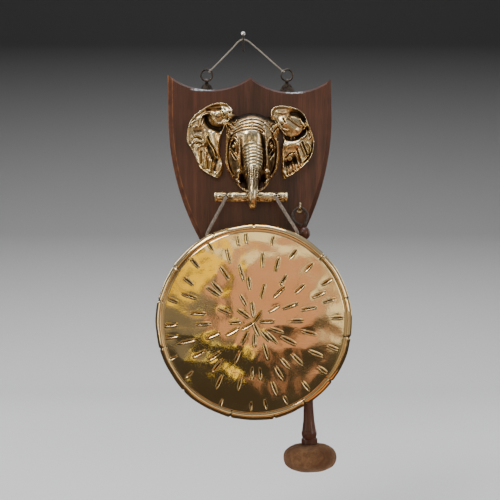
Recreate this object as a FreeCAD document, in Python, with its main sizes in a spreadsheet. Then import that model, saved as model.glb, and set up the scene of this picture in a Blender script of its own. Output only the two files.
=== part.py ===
import FreeCAD, Part
import math
import os

import Sketcher

# Wall gong: a brass elephant's head on a shield-shaped wooden plaque carries a bar in its trunk, and a
# hammered brass gong hangs from the bar on two thongs, with its beater on a hook behind it. A string
# through two rings hangs the plaque on a nail.
# +Z is up, the front faces -Y, the wall is the plane Y = 0, and the nail enters the wall at the origin.
# Everything fixed to the plaque is laid out from the plaque's own datum: X from the board's centreline,
# Y from the wall and Z from the axis of the two hanger eyes.

V = FreeCAD.Vector
Y_AXIS = V(0, 1, 0)
X_AXIS = V(1, 0, 0)

doc = FreeCAD.newDocument("wall_gong")

# ---------------------------------------------------------------- driving dimensions, in mm and degrees
SIZES = {
    "plaque_right": 9.0, "eye_drop": 49.8,                       # the plaque's datum, from the nail
    "nail_radius": 1.25, "nail_outside": 26.0, "nail_inside": 22.0, "nail_head_radius": 3.1,
    "nail_slope": 22.0, "string_radius": 0.9, "string_depth": 6.0, "nail_bend": 2.8,
    "ring_radius": 7.6, "ring_wire": 1.1, "eye_depth": 3.35, "left_eye": -57.4, "right_eye": 49.0,
    "knot_radius": 2.6,
    "board_width": 215.2, "board_height": 300.0, "board_thick": 20.0, "board_bevel": 6.0,
    "top_bevel": 2.5, "edge_straight": 46.8,
    "plate_width": 25.0, "plate_thick": 1.4, "plate_gap": 0.4, "plate_foot": 36.0, "eye_bore": 1.75,
    "eye_wall": 1.1, "eye_length": 4.0,
    "head_right": 2.8, "head_width": 71.0, "head_depth": 54.0, "head_height": 98.0, "head_top": 48.1,
    "head_wall": 3.5, "trunk_right": 3.2, "trunk_root": 12.9, "trunk_at_bar": 5.7, "trunk_tip": 4.4,
    "ear_thick": 11.0, "ear_dish": 6.0, "ear_rim": 0.80,
    "bar_radius": 6.35, "bar_length": 94.0, "bar_right": 1.3, "bar_depth": 78.0, "bar_drop": 156.7,
    "cord_radius": 2.2, "cord_drop": 157.7, "cord_depth": 87.0, "left_cord": -30.3, "right_cord": 32.8,
    "cord_hole": 2.6, "cord_knot": 4.3,
    "gong_radius": 124.0, "face_radius": 114.5, "gong_dome": 1.8, "gong_sheet": 1.4, "gong_depth": 38.0,
    "shoulder_depth": 5.5, "rim_taper": 1.4, "gong_right": 5.0, "gong_drop": 314.9, "rim_hole_back": 7.6,
    "left_rim_angle": -29.6, "right_rim_angle": 27.3, "cord_end_gap": 1.2,
    "hook_right": 65.0, "hook_drop": 171.2, "hook_radius": 1.4, "hook_reach": 38.2, "hook_bend": 3.0,
    "hook_rise": 7.5, "hook_in_wood": 12.0, "hook_collar": 4.0,
    "thong_radius": 1.4, "beater_depth": 36.5,
    "beater_right": 69.7, "beater_drop": 193.3, "beater_lean": 1.54, "knob_radius": 8.3,
    "collar_radius": 10.4, "collar_drop": 282.6, "tenon_radius": 6.0, "tenon_length": 27.0,
    "beater_radius": 34.8, "beater_height": 37.6, "cover_thick": 2.4,
    "machine_screw": 2.0, "wood_screw": 1.5, "screw_slack": 0.2,
}

sheet = doc.addObject("Spreadsheet::Sheet", "Sizes")
for row, (alias, value) in enumerate(SIZES.items(), start=1):
    sheet.set(f"A{row}", alias)
    sheet.set(f"B{row}", str(value))
    sheet.setAlias(f"B{row}", alias)
doc.recompute()


def size(alias):
    """A driving dimension, read back from the sheet."""
    return float(sheet.get(alias))


PLAQUE = FreeCAD.Placement(V(size("plaque_right"), 0, -size("eye_drop")), FreeCAD.Rotation())
nodes = []


def keep(thing, label, placement=PLAQUE):
    """Names a finished sub-part and puts it in its place."""
    thing.Label = label
    thing.Placement = placement.multiply(thing.Placement)
    nodes.append(thing)
    return thing


def bind(thing, **expressions):
    """Ties properties of an object to cells of the sheet; a bare word is one cell."""
    for name, text in expressions.items():
        thing.setExpression(name, f"Sizes.{text}" if text in SIZES else text)
    return thing


def moved(thing, base, axis=V(0, 0, 1), angle=0):
    thing.Placement = FreeCAD.Placement(base, FreeCAD.Rotation(axis, angle))
    return thing


# ---------------------------------------------------------------- builders that several sub-parts share
def new_body(name):
    return doc.addObject("PartDesign::Body", name)


def sketch_on(body, name, role, offset=None):
    """A sketch on one of the body's own origin planes."""
    sketch = body.newObject("Sketcher::SketchObject", name)
    plane = next(f for f in body.Origin.OriginFeatures if f.Role == role)
    sketch.AttachmentSupport = [(plane, "")]
    sketch.MapMode = "FlatFace"
    if offset is not None:
        sketch.AttachmentOffset = offset
    return sketch


def chain(sketch, points, bulges=None):
    """A closed outline through points; bulges[i] is a point that the i-th edge's arc passes through."""
    bulges = bulges or {}
    count = len(points)
    for i, start in enumerate(points):
        end = points[(i + 1) % count]
        if i in bulges:
            arc = Part.Arc(V(*start, 0), V(*bulges[i], 0), V(*end, 0))
            sketch.addGeometry(arc)
        else:
            sketch.addGeometry(Part.LineSegment(V(*start, 0), V(*end, 0)))
    return sketch


def smooth_outline(sketch, points):
    """A closed smooth curve through points."""
    curve = Part.BSplineCurve()
    curve.interpolate([V(*p, 0) for p in points], PeriodicFlag=True)
    sketch.addGeometry(curve)
    return sketch


def circle(sketch, centre, radius_cell):
    """A circle whose radius is bound to a cell."""
    index = sketch.addGeometry(Part.Circle(V(*centre, 0), V(0, 0, 1), 1.0))
    row = sketch.addConstraint(Sketcher.Constraint("Radius", index, 1.0))
    sketch.setExpression(f"Constraints[{row}]", f"Sizes.{radius_cell}")
    return index


def turned(name, points, bulges=None, plane="XZ_Plane"):
    """A body turned about its sketch's vertical axis."""
    body = new_body(name)
    profile = chain(sketch_on(body, name + "_profile", plane), points, bulges)
    spin = body.newObject("PartDesign::Revolution", name + "_turned")
    spin.Profile = profile
    spin.ReferenceAxis = (profile, ["V_Axis"])
    spin.Angle = 360
    body.Tip = spin
    return body


def cylinder(name, radius, length, base, axis=V(0, 0, 1)):
    """A cylinder from base along axis; radius and length are cells or expressions."""
    rod = doc.addObject("Part::Cylinder", name)
    bind(rod, Radius=radius, Height=length)
    rod.Placement = FreeCAD.Placement(base, FreeCAD.Rotation(V(0, 0, 1), axis))
    return rod


def sphere(name, radius, centre):
    ball = doc.addObject("Part::Sphere", name)
    bind(ball, Radius=radius)
    ball.Placement.Base = centre
    return ball


def joined(name, parts):
    fuse = doc.addObject("Part::MultiFuse", name)
    fuse.Shapes = parts
    return fuse


def cut(name, base, tools):
    """base with the tools taken away."""
    tool = tools[0] if len(tools) == 1 else joined(name + "_tools", tools)
    result = doc.addObject("Part::Cut", name)
    result.Base = base
    result.Tool = tool
    return result


def group(name, parts):
    compound = doc.addObject("Part::Compound", name)
    compound.Links = parts
    return compound


def corner_radius(before, corner, after):
    """The largest tidy bend at a corner: 0.45 of its shorter run over the tangent of half the turn."""
    run_in, run_out = corner - before, after - corner
    return 0.45 * min(run_in.Length, run_out.Length) / math.tan(run_in.getAngle(run_out) / 2)


def cord(name, route, radius, set_radii=None):
    """A round cord along straight runs joined by tangent arcs. set_radii fixes the bend at a corner."""
    set_radii = set_radii or {}
    edges, start, bends = [], route[0], []
    for i in range(1, len(route) - 1):
        before, corner, after = route[i - 1], route[i], route[i + 1]
        towards, onwards = (before - corner).normalize(), (after - corner).normalize()
        half_turn = (math.pi - towards.getAngle(onwards)) / 2
        bend = set_radii.get(i) or corner_radius(before, corner, after)
        reach = bend * math.tan(half_turn)
        middle = (towards + onwards).normalize() * (bend / math.cos(half_turn) - bend)
        edges.append(Part.LineSegment(start, corner + towards * reach).toShape())
        end = corner + onwards * reach
        edges.append(Part.Arc(corner + towards * reach, corner + middle, end).toShape())
        start = end
        bends.append(round(bend, 1))
    edges.append(Part.LineSegment(start, route[-1]).toShape())
    path = Part.Wire(edges)
    section = Part.Wire(Part.Circle(route[0], route[1] - route[0], radius).toShape())
    tube = path.makePipeShell([section], True, False)
    thing = doc.addObject("Part::Feature", name)
    thing.Shape = tube
    share = tube.Volume / (math.pi * radius**2 * path.Length)
    print(f"{name}: length {path.Length:.1f}, bends {bends}, {share:.4f} of section times length")
    return thing


# ---------------------------------------------------------------- the nail, and the string over it
def wall_nail():
    """A round nail driven upwards into the wall, its local Z along the shank and 0 at the wall."""
    shank, head = size("nail_radius"), size("nail_head_radius")
    top, tip = size("nail_outside"), -size("nail_inside")
    crown, point, edge, flare = 1.6, 4.0, 0.6, 0.06
    profile = [(0, tip), (shank, tip + point), (shank, 0), (shank + flare, top), (head, top),
               (head, top + edge), (0, top + crown)]
    # The crown is part of a sphere on the nail's axis.
    ball = (head**2 + (crown - edge) ** 2) / (2 * (crown - edge))
    on_crown = (head / 2, top + crown - ball + math.sqrt(ball**2 - (head / 2) ** 2))
    body = turned("Nail", profile, {5: on_crown})
    slope = FreeCAD.Rotation(X_AXIS, 90 - size("nail_slope"))
    keep(body, "wall_nail", FreeCAD.Placement(V(0, 0, 0), slope))


def on_ring(eye, angle):
    """The point of a hanger ring's wire at an angle from its top, in the plaque's datum."""
    ring = size("ring_radius")
    turn = math.radians(angle)
    return V(eye + ring * math.sin(turn), -size("eye_depth"), ring + ring * math.cos(turn))


def hanging_string():
    """One taut string, tied to both rings and bent over the nail, with a knot on each ring."""
    to_nail_frame = PLAQUE.Base
    depth, slope = size("string_depth"), math.radians(size("nail_slope"))
    nail = V(0, -depth, depth * math.tan(slope))
    ends = [on_ring(size("left_eye"), 38) + to_nail_frame, on_ring(size("right_eye"), -45) + to_nail_frame]
    bend = size("nail_bend")
    # Each run leaves its knot along a tangent of the bend, and the two runs meet above the nail.
    tangents = []
    for end, side in zip(ends, (-1, 1)):
        reach = V(nail.x - end.x, 0, nail.z - end.z)
        rise = math.atan2(reach.z, abs(reach.x)) + math.asin(bend / reach.Length)
        tangents.append((end, -side * math.cos(rise), math.sin(rise)))
    (left, lx, lz), (right, rx, rz) = tangents
    along = ((right.x - left.x) * rz - (right.z - left.z) * rx) / (lx * rz - lz * rx)
    peak = V(left.x + along * lx, -depth, left.z + along * lz)
    line = cord("String", [left, peak, right], size("string_radius"), {1: bend})
    for label, end, eye in (("left", left, "left_eye"), ("right", right, "right_eye")):
        ring = doc.addObject("Part::Torus", f"Ring_{label}")
        bind(ring, Radius1="ring_radius", Radius2="ring_wire")
        centre = V(size(eye), -size("eye_depth"), size("ring_radius"))
        keep(moved(ring, centre, X_AXIS, 90), f"hanger_ring_{label}")
        knot = cut(f"Knot_{label}", sphere(f"Knot_ball_{label}", "knot_radius", end), [doc.copyObject(ring)])
        keep(knot, f"string_knot_{label}", FreeCAD.Placement())
    balls = [Part.makeSphere(size("knot_radius"), end) for end in ends]
    line.Shape = line.Shape.cut(balls[0]).cut(balls[1])
    keep(line, "hanging_string", FreeCAD.Placement())


# ---------------------------------------------------------------- the plaque
SCREW_HEAD = 2.0                                  # a countersunk head's radius, in shank radii
HEAD_SCREWS = [(2.8, -74.0), (2.8, -112.0)]       # x and z of each fixing, in the plaque's datum
EAR_SCREWS = {"left": [(-58.0, -78.0), (-54.0, -104.0)], "right": [(56.0, -78.0), (52.0, -104.0)]}
PLATE_SCREWS = [(-7.5, -26.0), (7.5, -26.0)]      # from each eye


def screw_solids(name, places, radius, length, slack="0", head=True):
    """Countersunk screws driven forwards from the back, or with slack the holes that they need."""
    solids = []
    for i, (x, z) in enumerate(places):
        shank = cylinder(f"{name}_shank{i}", f"Sizes.{radius} + {slack}", f"{length} + {slack}",
                         V(x, 0, z), V(0, -1, 0))
        cone = doc.addObject("Part::Cone", f"{name}_head{i}")
        bind(cone, Radius1=f"Sizes.{radius} * {SCREW_HEAD} + {slack}", Radius2=f"Sizes.{radius} + {slack}",
             Height=f"Sizes.{radius}")
        cone.Placement = FreeCAD.Placement(V(x, 0, z), FreeCAD.Rotation(V(0, 0, 1), V(0, -1, 0)))
        solids.append(joined(f"{name}_{i}", [shank, cone]) if head else shank)
    return solids


def screws(name, label, places, radius, length):
    """The screws themselves, one node of separate solids, 0.2 mm below the board's back."""
    solids = screw_solids(name, places, radius, length)
    compound = group(name, solids)
    compound.Placement.Base = V(0, -0.2, 0)
    keep(compound, label)


def shield_board():
    """The heater-shield board, bevelled round its front, bored and recessed from behind."""
    half, straight = size("board_width") / 2, -size("edge_straight")
    tip = 3.1 - size("board_height")
    left, right, peak = (-half - 1.0, 7.0), (half - 1.3, 0.5), (0.6, 3.1)
    outline = [left, peak, right, (half, straight), (0, tip), (-half, straight)]
    # The side arcs start upright, so their centres lie level with the start of the curve.
    sag = straight - tip
    reach = (half**2 + sag**2) / (2 * half)
    mid = math.asin(sag / reach) / 2
    swell = (half - reach + reach * math.cos(mid), straight - reach * math.sin(mid))
    bulges = {0: (-56.4, -13.3), 1: (52.5, -16.6), 3: swell, 4: (-swell[0], swell[1])}
    body = new_body("Board")
    sketch = chain(sketch_on(body, "Board_outline", "XZ_Plane"), outline, bulges)
    pad = body.newObject("PartDesign::Pad", "Board_pad")
    pad.Profile = sketch
    bind(pad, Length="board_thick")
    doc.recompute()
    front = -size("board_thick")
    # The bevel: deep round the sides and point, light along the two scoops.
    sides, tops = [], []
    for i, edge in enumerate(pad.Shape.Edges, start=1):
        ends = [v.Point.y for v in edge.Vertexes]
        if all(abs(y - front) < 0.01 for y in ends):
            on_top = edge.BoundBox.ZMin > straight + 20 and edge.BoundBox.XLength > 50
            (tops if on_top else sides).append(f"Edge{i}")
    base = pad
    for name, edges, cell in (("sides", sides, "board_bevel"), ("tops", tops, "top_bevel")):
        if name == "tops":
            edges = [f"Edge{i}" for i, e in enumerate(base.Shape.Edges, start=1)
                     if all(abs(v.Point.y - front) < 0.01 for v in e.Vertexes)
                     and e.BoundBox.ZMin > straight + 20 and e.BoundBox.XLength > 50]
        chamfer = body.newObject("PartDesign::Chamfer", f"Board_bevel_{name}")
        chamfer.Base = (base, edges)
        bind(chamfer, Size=cell)
        doc.recompute()
        base = chamfer
    body.Tip = base
    slack = "Sizes.screw_slack"
    tools = screw_solids("Head_hole", HEAD_SCREWS, "machine_screw", "Sizes.board_thick + 1", slack)
    for side, places in EAR_SCREWS.items():
        tools += screw_solids(f"Ear_hole_{side}", places, "machine_screw", "Sizes.board_thick + 1", slack)
    for side, eye in (("left", size("left_eye")), ("right", size("right_eye"))):
        recess = doc.addObject("Part::Box", f"Plate_recess_{side}")
        bind(recess, Length="Sizes.plate_width + 0.6", Width="Sizes.plate_thick + Sizes.plate_gap + 0.1",
             Height="Sizes.plate_foot")
        deep = size("plate_thick") + size("plate_gap") + 0.1
        recess.Placement.Base = V(eye - size("plate_width") / 2 - 0.3, -deep, -size("plate_foot") - 0.3)
        tools.append(recess)
        places = [(eye + x, z) for x, z in PLATE_SCREWS]
        tools += screw_solids(f"Plate_hole_{side}", places, "wood_screw", "13.4", head=False)
    tools.append(cylinder("Hook_hole", "hook_radius", "hook_in_wood",
                          V(size("hook_right"), front + size("hook_in_wood"), -size("hook_drop")),
                          V(0, -1, 0)))
    keep(cut("Board_bored", body, tools), "shield_board")


def hanger_plate(side, eye):
    """A tapered strap let into the board's back, rolled into an eye at its top for the ring."""
    body = new_body(f"Plate_{side}")
    half, foot, thick = size("plate_width") / 2, -size("plate_foot"), size("plate_thick")
    eye_half = size("eye_length") / 2
    at = FreeCAD.Placement(V(0, 0, size("plate_gap")), FreeCAD.Rotation())
    outline = [(-half, foot), (half, foot), (half, -17), (5, -5), (eye_half, -3), (eye_half, 0),
               (-eye_half, 0), (-eye_half, -3), (-5, -5), (-half, -17)]
    flat = chain(sketch_on(body, f"Plate_flat_{side}", "XZ_Plane", at), outline)
    pad = body.newObject("PartDesign::Pad", f"Plate_pad_{side}")
    pad.Profile = flat
    bind(pad, Length="plate_thick")
    roll = sketch_on(body, f"Plate_roll_{side}", "YZ_Plane")
    index = roll.addGeometry(Part.Circle(V(-size("eye_depth"), 0, 0), V(0, 0, 1), 1.0))
    row = roll.addConstraint(Sketcher.Constraint("Radius", index, 1.0))
    roll.setExpression(f"Constraints[{row}]", "Sizes.eye_bore + Sizes.eye_wall")
    curl = body.newObject("PartDesign::Pad", f"Plate_curl_{side}")
    curl.Profile = roll
    curl.Midplane = True
    bind(curl, Length="eye_length")
    doc.recompute()
    bore = sketch_on(body, f"Plate_bore_{side}", "YZ_Plane")
    circle(bore, (-size("eye_depth"), 0), "eye_bore")
    hole = body.newObject("PartDesign::Pocket", f"Plate_eye_{side}")
    hole.Profile = bore
    hole.Midplane = True
    bind(hole, Length="Sizes.eye_length + 2")
    doc.recompute()
    body.Tip = hole
    tools = screw_solids(f"Plate_csk_{side}", PLATE_SCREWS, "wood_screw", "4", "Sizes.screw_slack")
    plate = cut(f"Plate_drilled_{side}", body, tools)
    plate.Placement.Base = V(eye, 0, 0)
    keep(plate, f"hanger_plate_{side}")
    places = [(eye + x, z) for x, z in PLATE_SCREWS]
    screws(f"Plate_screws_{side}", f"hanger_screws_{side}", places, "wood_screw", "12")


# ---------------------------------------------------------------- the elephant's head, ears and bar
def ellipsoid(name, centre, across, deep, high):
    """An ellipsoid whose half sizes along X, Y and Z are expressions."""
    ball = doc.addObject("Part::Ellipsoid", name)
    bind(ball, Radius1=high, Radius2=across, Radius3=deep)
    ball.Placement.Base = centre
    return ball


def trunk():
    """The trunk, lofted through round sections down the face, and curled in front of and under the bar."""
    bar_y, bar_z = -size("bar_depth"), -size("bar_drop")
    gap = 0.5
    root, at_bar, tip = size("trunk_root"), size("trunk_at_bar"), size("trunk_tip")
    # Each section: y, z, the trunk's heading below level towards the front, and its radius.
    stations = [(-50, -84, 55, root * 0.95), (-60, -97, 60, root), (-68.5, -112, 62, root),
                (-76, -127, 62, root * 0.84), (-83, -140, 64, root * 0.62)]
    for turn, radius in ((10, at_bar), (-30, at_bar * 0.95), (-70, at_bar * 0.88), (-110, tip)):
        wrap = size("bar_radius") + radius + gap
        y = bar_y - wrap * math.cos(math.radians(turn))
        z = bar_z + wrap * math.sin(math.radians(turn))
        stations.append((y, z, 90 - turn, radius))
    body = new_body("Trunk")
    sections = []
    for i, (y, z, heading, radius) in enumerate(stations):
        # Heading 0 points to the front (-Y), 90 points down; the section stands square to it.
        turn = FreeCAD.Rotation(V(0, 0, -1), V(0, -math.cos(math.radians(heading)),
                                               -math.sin(math.radians(heading))))
        place = FreeCAD.Placement(V(size("trunk_right"), y, z), turn)
        section = sketch_on(body, f"Trunk_section{i}", "XY_Plane", place)
        index = section.addGeometry(Part.Circle(V(0, 0, 0), V(0, 0, 1), 1.0))
        row = section.addConstraint(Sketcher.Constraint("Radius", index, 1.0))
        section.setExpression(f"Constraints[{row}]", f"Sizes.trunk_root * {radius / root:.5f}")
        sections.append(section)
    loft = body.newObject("PartDesign::AdditiveLoft", "Trunk_loft")
    loft.Profile = sections[0]
    loft.Sections = sections[1:]
    body.Tip = loft
    return body


def elephant_head():
    """A hollow casting: skull, cheeks, jaw and trunk in one, open behind where it meets the board."""
    x, front, top = size("head_right"), -size("board_thick"), -size("head_top")
    wide, deep, high = "Sizes.head_width / 2", "Sizes.head_depth", "Sizes.head_height"
    skull_z, face_z = top - 33, top - 60
    skull = ellipsoid("Skull", V(x, front - 16, skull_z), f"{wide} * 0.93", f"{deep} * 0.66",
                      f"{high} * 0.337")
    face = ellipsoid("Face", V(x, front - 10, face_z), wide, f"{deep} * 0.66", f"{high} * 0.40")
    jaw = ellipsoid("Jaw", V(x, front - 18, top - 82), f"{wide} * 0.55", f"{deep} * 0.36",
                    f"{high} * 0.165")
    solid = joined("Head_solid", [skull, face, jaw, trunk()])
    thin = "Sizes.head_wall"
    hollow = [
        ellipsoid("Skull_hollow", V(x, front - 16, skull_z), f"{wide} * 0.93 - {thin}",
                  f"{deep} * 0.66 - {thin}", f"{high} * 0.337 - {thin}"),
        ellipsoid("Face_hollow", V(x, front - 10, face_z), f"{wide} - {thin}", f"{deep} * 0.66 - {thin}",
                  f"{high} * 0.40 - {thin}"),
    ]
    posts = [cylinder(f"Head_post{i}", "5", f"Sizes.head_depth * {reach}", V(px, front, pz), V(0, -1, 0))
             for i, ((px, pz), reach) in enumerate(zip(HEAD_SCREWS, (0.88, 0.80)))]
    shell = joined("Head_shell", [cut("Head_cast", solid, hollow), *posts])
    behind = doc.addObject("Part::Box", "Behind_head")
    bind(behind, Length="Sizes.head_width * 2", Width="60", Height="Sizes.head_height * 2")
    behind.Placement.Base = V(x - size("head_width"), front, top - 1.5 * size("head_height"))
    tapped = [cylinder(f"Head_tap{i}", "machine_screw", "14", V(px, front, pz), V(0, -1, 0))
              for i, (px, pz) in enumerate(HEAD_SCREWS)]
    keep(cut("Head_finished", shell, [behind, *tapped]), "elephant_head")
    screws("Head_screws", "head_screws", HEAD_SCREWS, "machine_screw", "32")


EAR_OUTLINES = {
    # Round the ear from the top of its root, over the folded top lobe, down the free edge to the lobe.
    "left": [(-25, -38.5), (-31.5, -31.5), (-45, -31), (-64, -40), (-79, -55), (-83.5, -80), (-75, -97),
             (-66, -117), (-51, -127.5), (-41, -130), (-34.5, -117), (-39.5, -94), (-35, -66)],
    "right": [(26.5, -46), (30, -37.5), (38, -34.5), (53, -36), (69, -43), (78, -61), (84.5, -82),
              (80.5, -103), (66, -119), (46, -131), (41.5, -122), (40.5, -92), (44, -76), (34, -60)],
}


def ear(side):
    """A cast ear: a plate with a smooth lobed outline, dished in front inside a raised rim."""
    outline = EAR_OUTLINES[side]
    middle = (sum(x for x, _ in outline) / len(outline), sum(z for _, z in outline) / len(outline))
    share = size("ear_rim")
    inner = [(middle[0] + (x - middle[0]) * share, middle[1] + (z - middle[1]) * share) for x, z in outline]
    body = new_body(f"Ear_{side}")
    at_board = FreeCAD.Placement(V(0, 0, size("board_thick")), FreeCAD.Rotation())
    blank = smooth_outline(sketch_on(body, f"Ear_edge_{side}", "XZ_Plane", at_board), outline)
    pad = body.newObject("PartDesign::Pad", f"Ear_pad_{side}")
    pad.Profile = blank
    bind(pad, Length="ear_thick")
    at_front = FreeCAD.Placement(V(0, 0, size("board_thick") + size("ear_thick")), FreeCAD.Rotation())
    dish = smooth_outline(sketch_on(body, f"Ear_dish_{side}", "XZ_Plane", at_front), inner)
    pocket = body.newObject("PartDesign::Pocket", f"Ear_pocket_{side}")
    pocket.Profile = dish
    bind(pocket, Length="ear_dish")
    doc.recompute()
    if pocket.Shape.Volume >= pad.Shape.Volume:
        raise RuntimeError(f"the dish of the {side} ear cut nothing")
    body.Tip = pocket
    places = EAR_SCREWS[side]
    taps = [cylinder(f"Ear_tap_{side}{i}", "machine_screw", "4", V(x, -size("board_thick"), z), V(0, -1, 0))
            for i, (x, z) in enumerate(places)]
    keep(cut(f"Ear_tapped_{side}", body, taps), f"ear_{side}")
    screws(f"Ear_screws_{side}", f"ear_screws_{side}", places, "machine_screw", "23.2")


def gong_bar():
    """The round bar held in the curl of the trunk, with a cross hole for each thong and its knot behind."""
    left = size("bar_right") - size("bar_length") / 2
    start = V(left, -size("bar_depth"), -size("bar_drop"))
    rod = cylinder("Bar_rod", "bar_radius", "bar_length", start, X_AXIS)
    front = -size("bar_depth") - size("bar_radius")
    holes = []
    for side in ("left", "right"):
        x = size(f"{side}_cord")
        mouth = V(x, front - 2, -size("cord_drop"))
        holes.append(cylinder(f"Bar_hole_{side}", "cord_hole", "Sizes.bar_radius * 2 + 4", mouth, Y_AXIS))
        knot_at = -size("bar_depth") + size("bar_radius") + size("cord_knot")
        stub = cylinder(f"Bar_stub_{side}", "cord_radius", f"{knot_at - front - 0.2}",
                        V(x, front + 0.2, -size("cord_drop")), Y_AXIS)
        knot = sphere(f"Bar_ball_{side}", "cord_knot", V(x, knot_at, -size("cord_drop")))
        keep(joined(f"Bar_knot_{side}", [stub, knot]), f"bar_knot_{side}")
    keep(cut("Bar_drilled", rod, holes), "gong_bar")


# ---------------------------------------------------------------- the gong and its thongs
def rim_point(side, radius):
    """A point on the radius through a rim hole, at the holes' depth, in the plaque's datum."""
    angle = math.radians(size(f"{side}_rim_angle"))
    return V(size("gong_right") + radius * math.sin(angle), -size("cord_depth"),
             -size("gong_drop") + radius * math.cos(angle))


def gong_disc():
    """A hammered disc: a faintly domed face, a crease, a rounded shoulder and a flange turned back."""
    rim, face, sheet_t = size("gong_radius"), size("face_radius"), size("gong_sheet")
    dome, depth = size("gong_dome"), size("gong_depth")
    shoulder, taper = size("shoulder_depth"), size("rim_taper")
    # The domed face is part of a sphere centred on the gong's axis, behind the face.
    ball = (face**2 + dome**2) / (2 * dome)

    def dome_point(radius, inset):
        """A point of the domed face, as far in from its outer surface as inset."""
        return radius, ball - dome - math.sqrt((ball - inset) ** 2 - radius**2)

    profile = [dome_point(0, 0), dome_point(face, 0), (rim, shoulder), (rim - taper, depth),
               (rim - taper - sheet_t, depth), (rim - sheet_t, shoulder + 0.7),
               dome_point(face - 0.3, sheet_t), dome_point(0, sheet_t)]
    bulges = {0: dome_point(face / 2, 0), 1: (rim - 2.9, 1.3), 5: (rim - 3.9, 2.7),
              6: dome_point(face / 2, sheet_t)}
    body = turned("Gong_sheet", profile, bulges, "XY_Plane")
    centre = V(size("gong_right"), -size("cord_depth") - size("rim_hole_back"), -size("gong_drop"))
    body.Placement.Base = centre
    holes = []
    for side in ("left", "right"):
        inside, outside = rim_point(side, rim - 12), rim_point(side, rim + 6)
        holes.append(cylinder(f"Rim_hole_{side}", "cord_hole", "18", inside, outside - inside))
        knot_at = rim_point(side, rim - sheet_t - 0.5 - size("cord_knot"))
        stub = cylinder(f"Rim_stub_{side}", "cord_radius", f"{sheet_t + 0.8 + size('cord_knot')}", knot_at,
                        outside - inside)
        knot = sphere(f"Rim_ball_{side}", "cord_knot", knot_at)
        keep(joined(f"Rim_knot_{side}", [stub, knot]), f"rim_knot_{side}")
    keep(cut("Gong_pierced", body, holes), "gong_disc")


def gong_cords():
    """Each thong, from the front of the bar down to its hole in the gong's rim, which it enters squarely."""
    for side in ("left", "right"):
        top = V(size(f"{side}_cord"), -size("cord_depth"), -size("cord_drop"))
        end = rim_point(side, size("gong_radius") + size("cord_end_gap"))
        turn = rim_point(side, size("gong_radius") + 9)
        keep(cord(f"Gong_cord_{side}", [top, turn, end], size("cord_radius")), f"gong_cord_{side}")


# ---------------------------------------------------------------- the beater and its hook
def beater_hook():
    """A brass cup hook: a wire bent square and up, with a small collar against the board."""
    front, z, x = -size("board_thick"), -size("hook_drop"), size("hook_right")
    bend, reach = size("hook_bend"), -size("hook_reach")
    body = new_body("Hook")
    path = sketch_on(body, "Hook_path", "YZ_Plane")
    start = front + size("hook_in_wood")
    rise = size("hook_rise")
    path.addGeometry(Part.LineSegment(V(start, 0, 0), V(reach, 0, 0)))
    turn = math.radians(225)
    on_bend = V(reach + bend * math.cos(turn), bend + bend * math.sin(turn), 0)
    path.addGeometry(Part.Arc(V(reach, 0, 0), on_bend, V(reach - bend, bend, 0)))
    path.addGeometry(Part.LineSegment(V(reach - bend, bend, 0), V(reach - bend, rise, 0)))
    at_start = FreeCAD.Placement(V(0, 0, -start), FreeCAD.Rotation())
    profile = sketch_on(body, "Hook_section", "XZ_Plane", at_start)
    circle(profile, (0, 0), "hook_radius")
    pipe = body.newObject("PartDesign::AdditivePipe", "Hook_wire")
    pipe.Profile = profile
    pipe.Spine = (path, [])
    body.Tip = pipe
    tip = sphere("Hook_tip", "hook_radius", V(0, reach - bend, rise))
    collar = cylinder("Hook_collar", "hook_collar", "1.8", V(0, front, 0), V(0, -1, 0))
    hook = joined("Hook_whole", [body, tip, collar])
    hook.Placement.Base = V(x, 0, z)
    keep(hook, "beater_hook")


def beater_loop():
    """The thong over the hook, both ends let into the top of the handle's knob."""
    x, z, y = size("hook_right"), -size("hook_drop"), -size("beater_depth")
    over = size("hook_radius") + size("thong_radius") + 0.3
    crest = over / math.cos(math.radians(35))
    route = [(3.0, -20.5), (-4.5, -19.2), (-11.0, -11.0), (-8.6, -1.8), (0, crest), (8.4, -2.0),
             (11.0, -10.8), (6.3, -20.5)]
    points = [V(x + dx, y, z + dz) for dx, dz in route]
    keep(cord("Loop", points, size("thong_radius"), {4: over}), "beater_loop")


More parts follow.
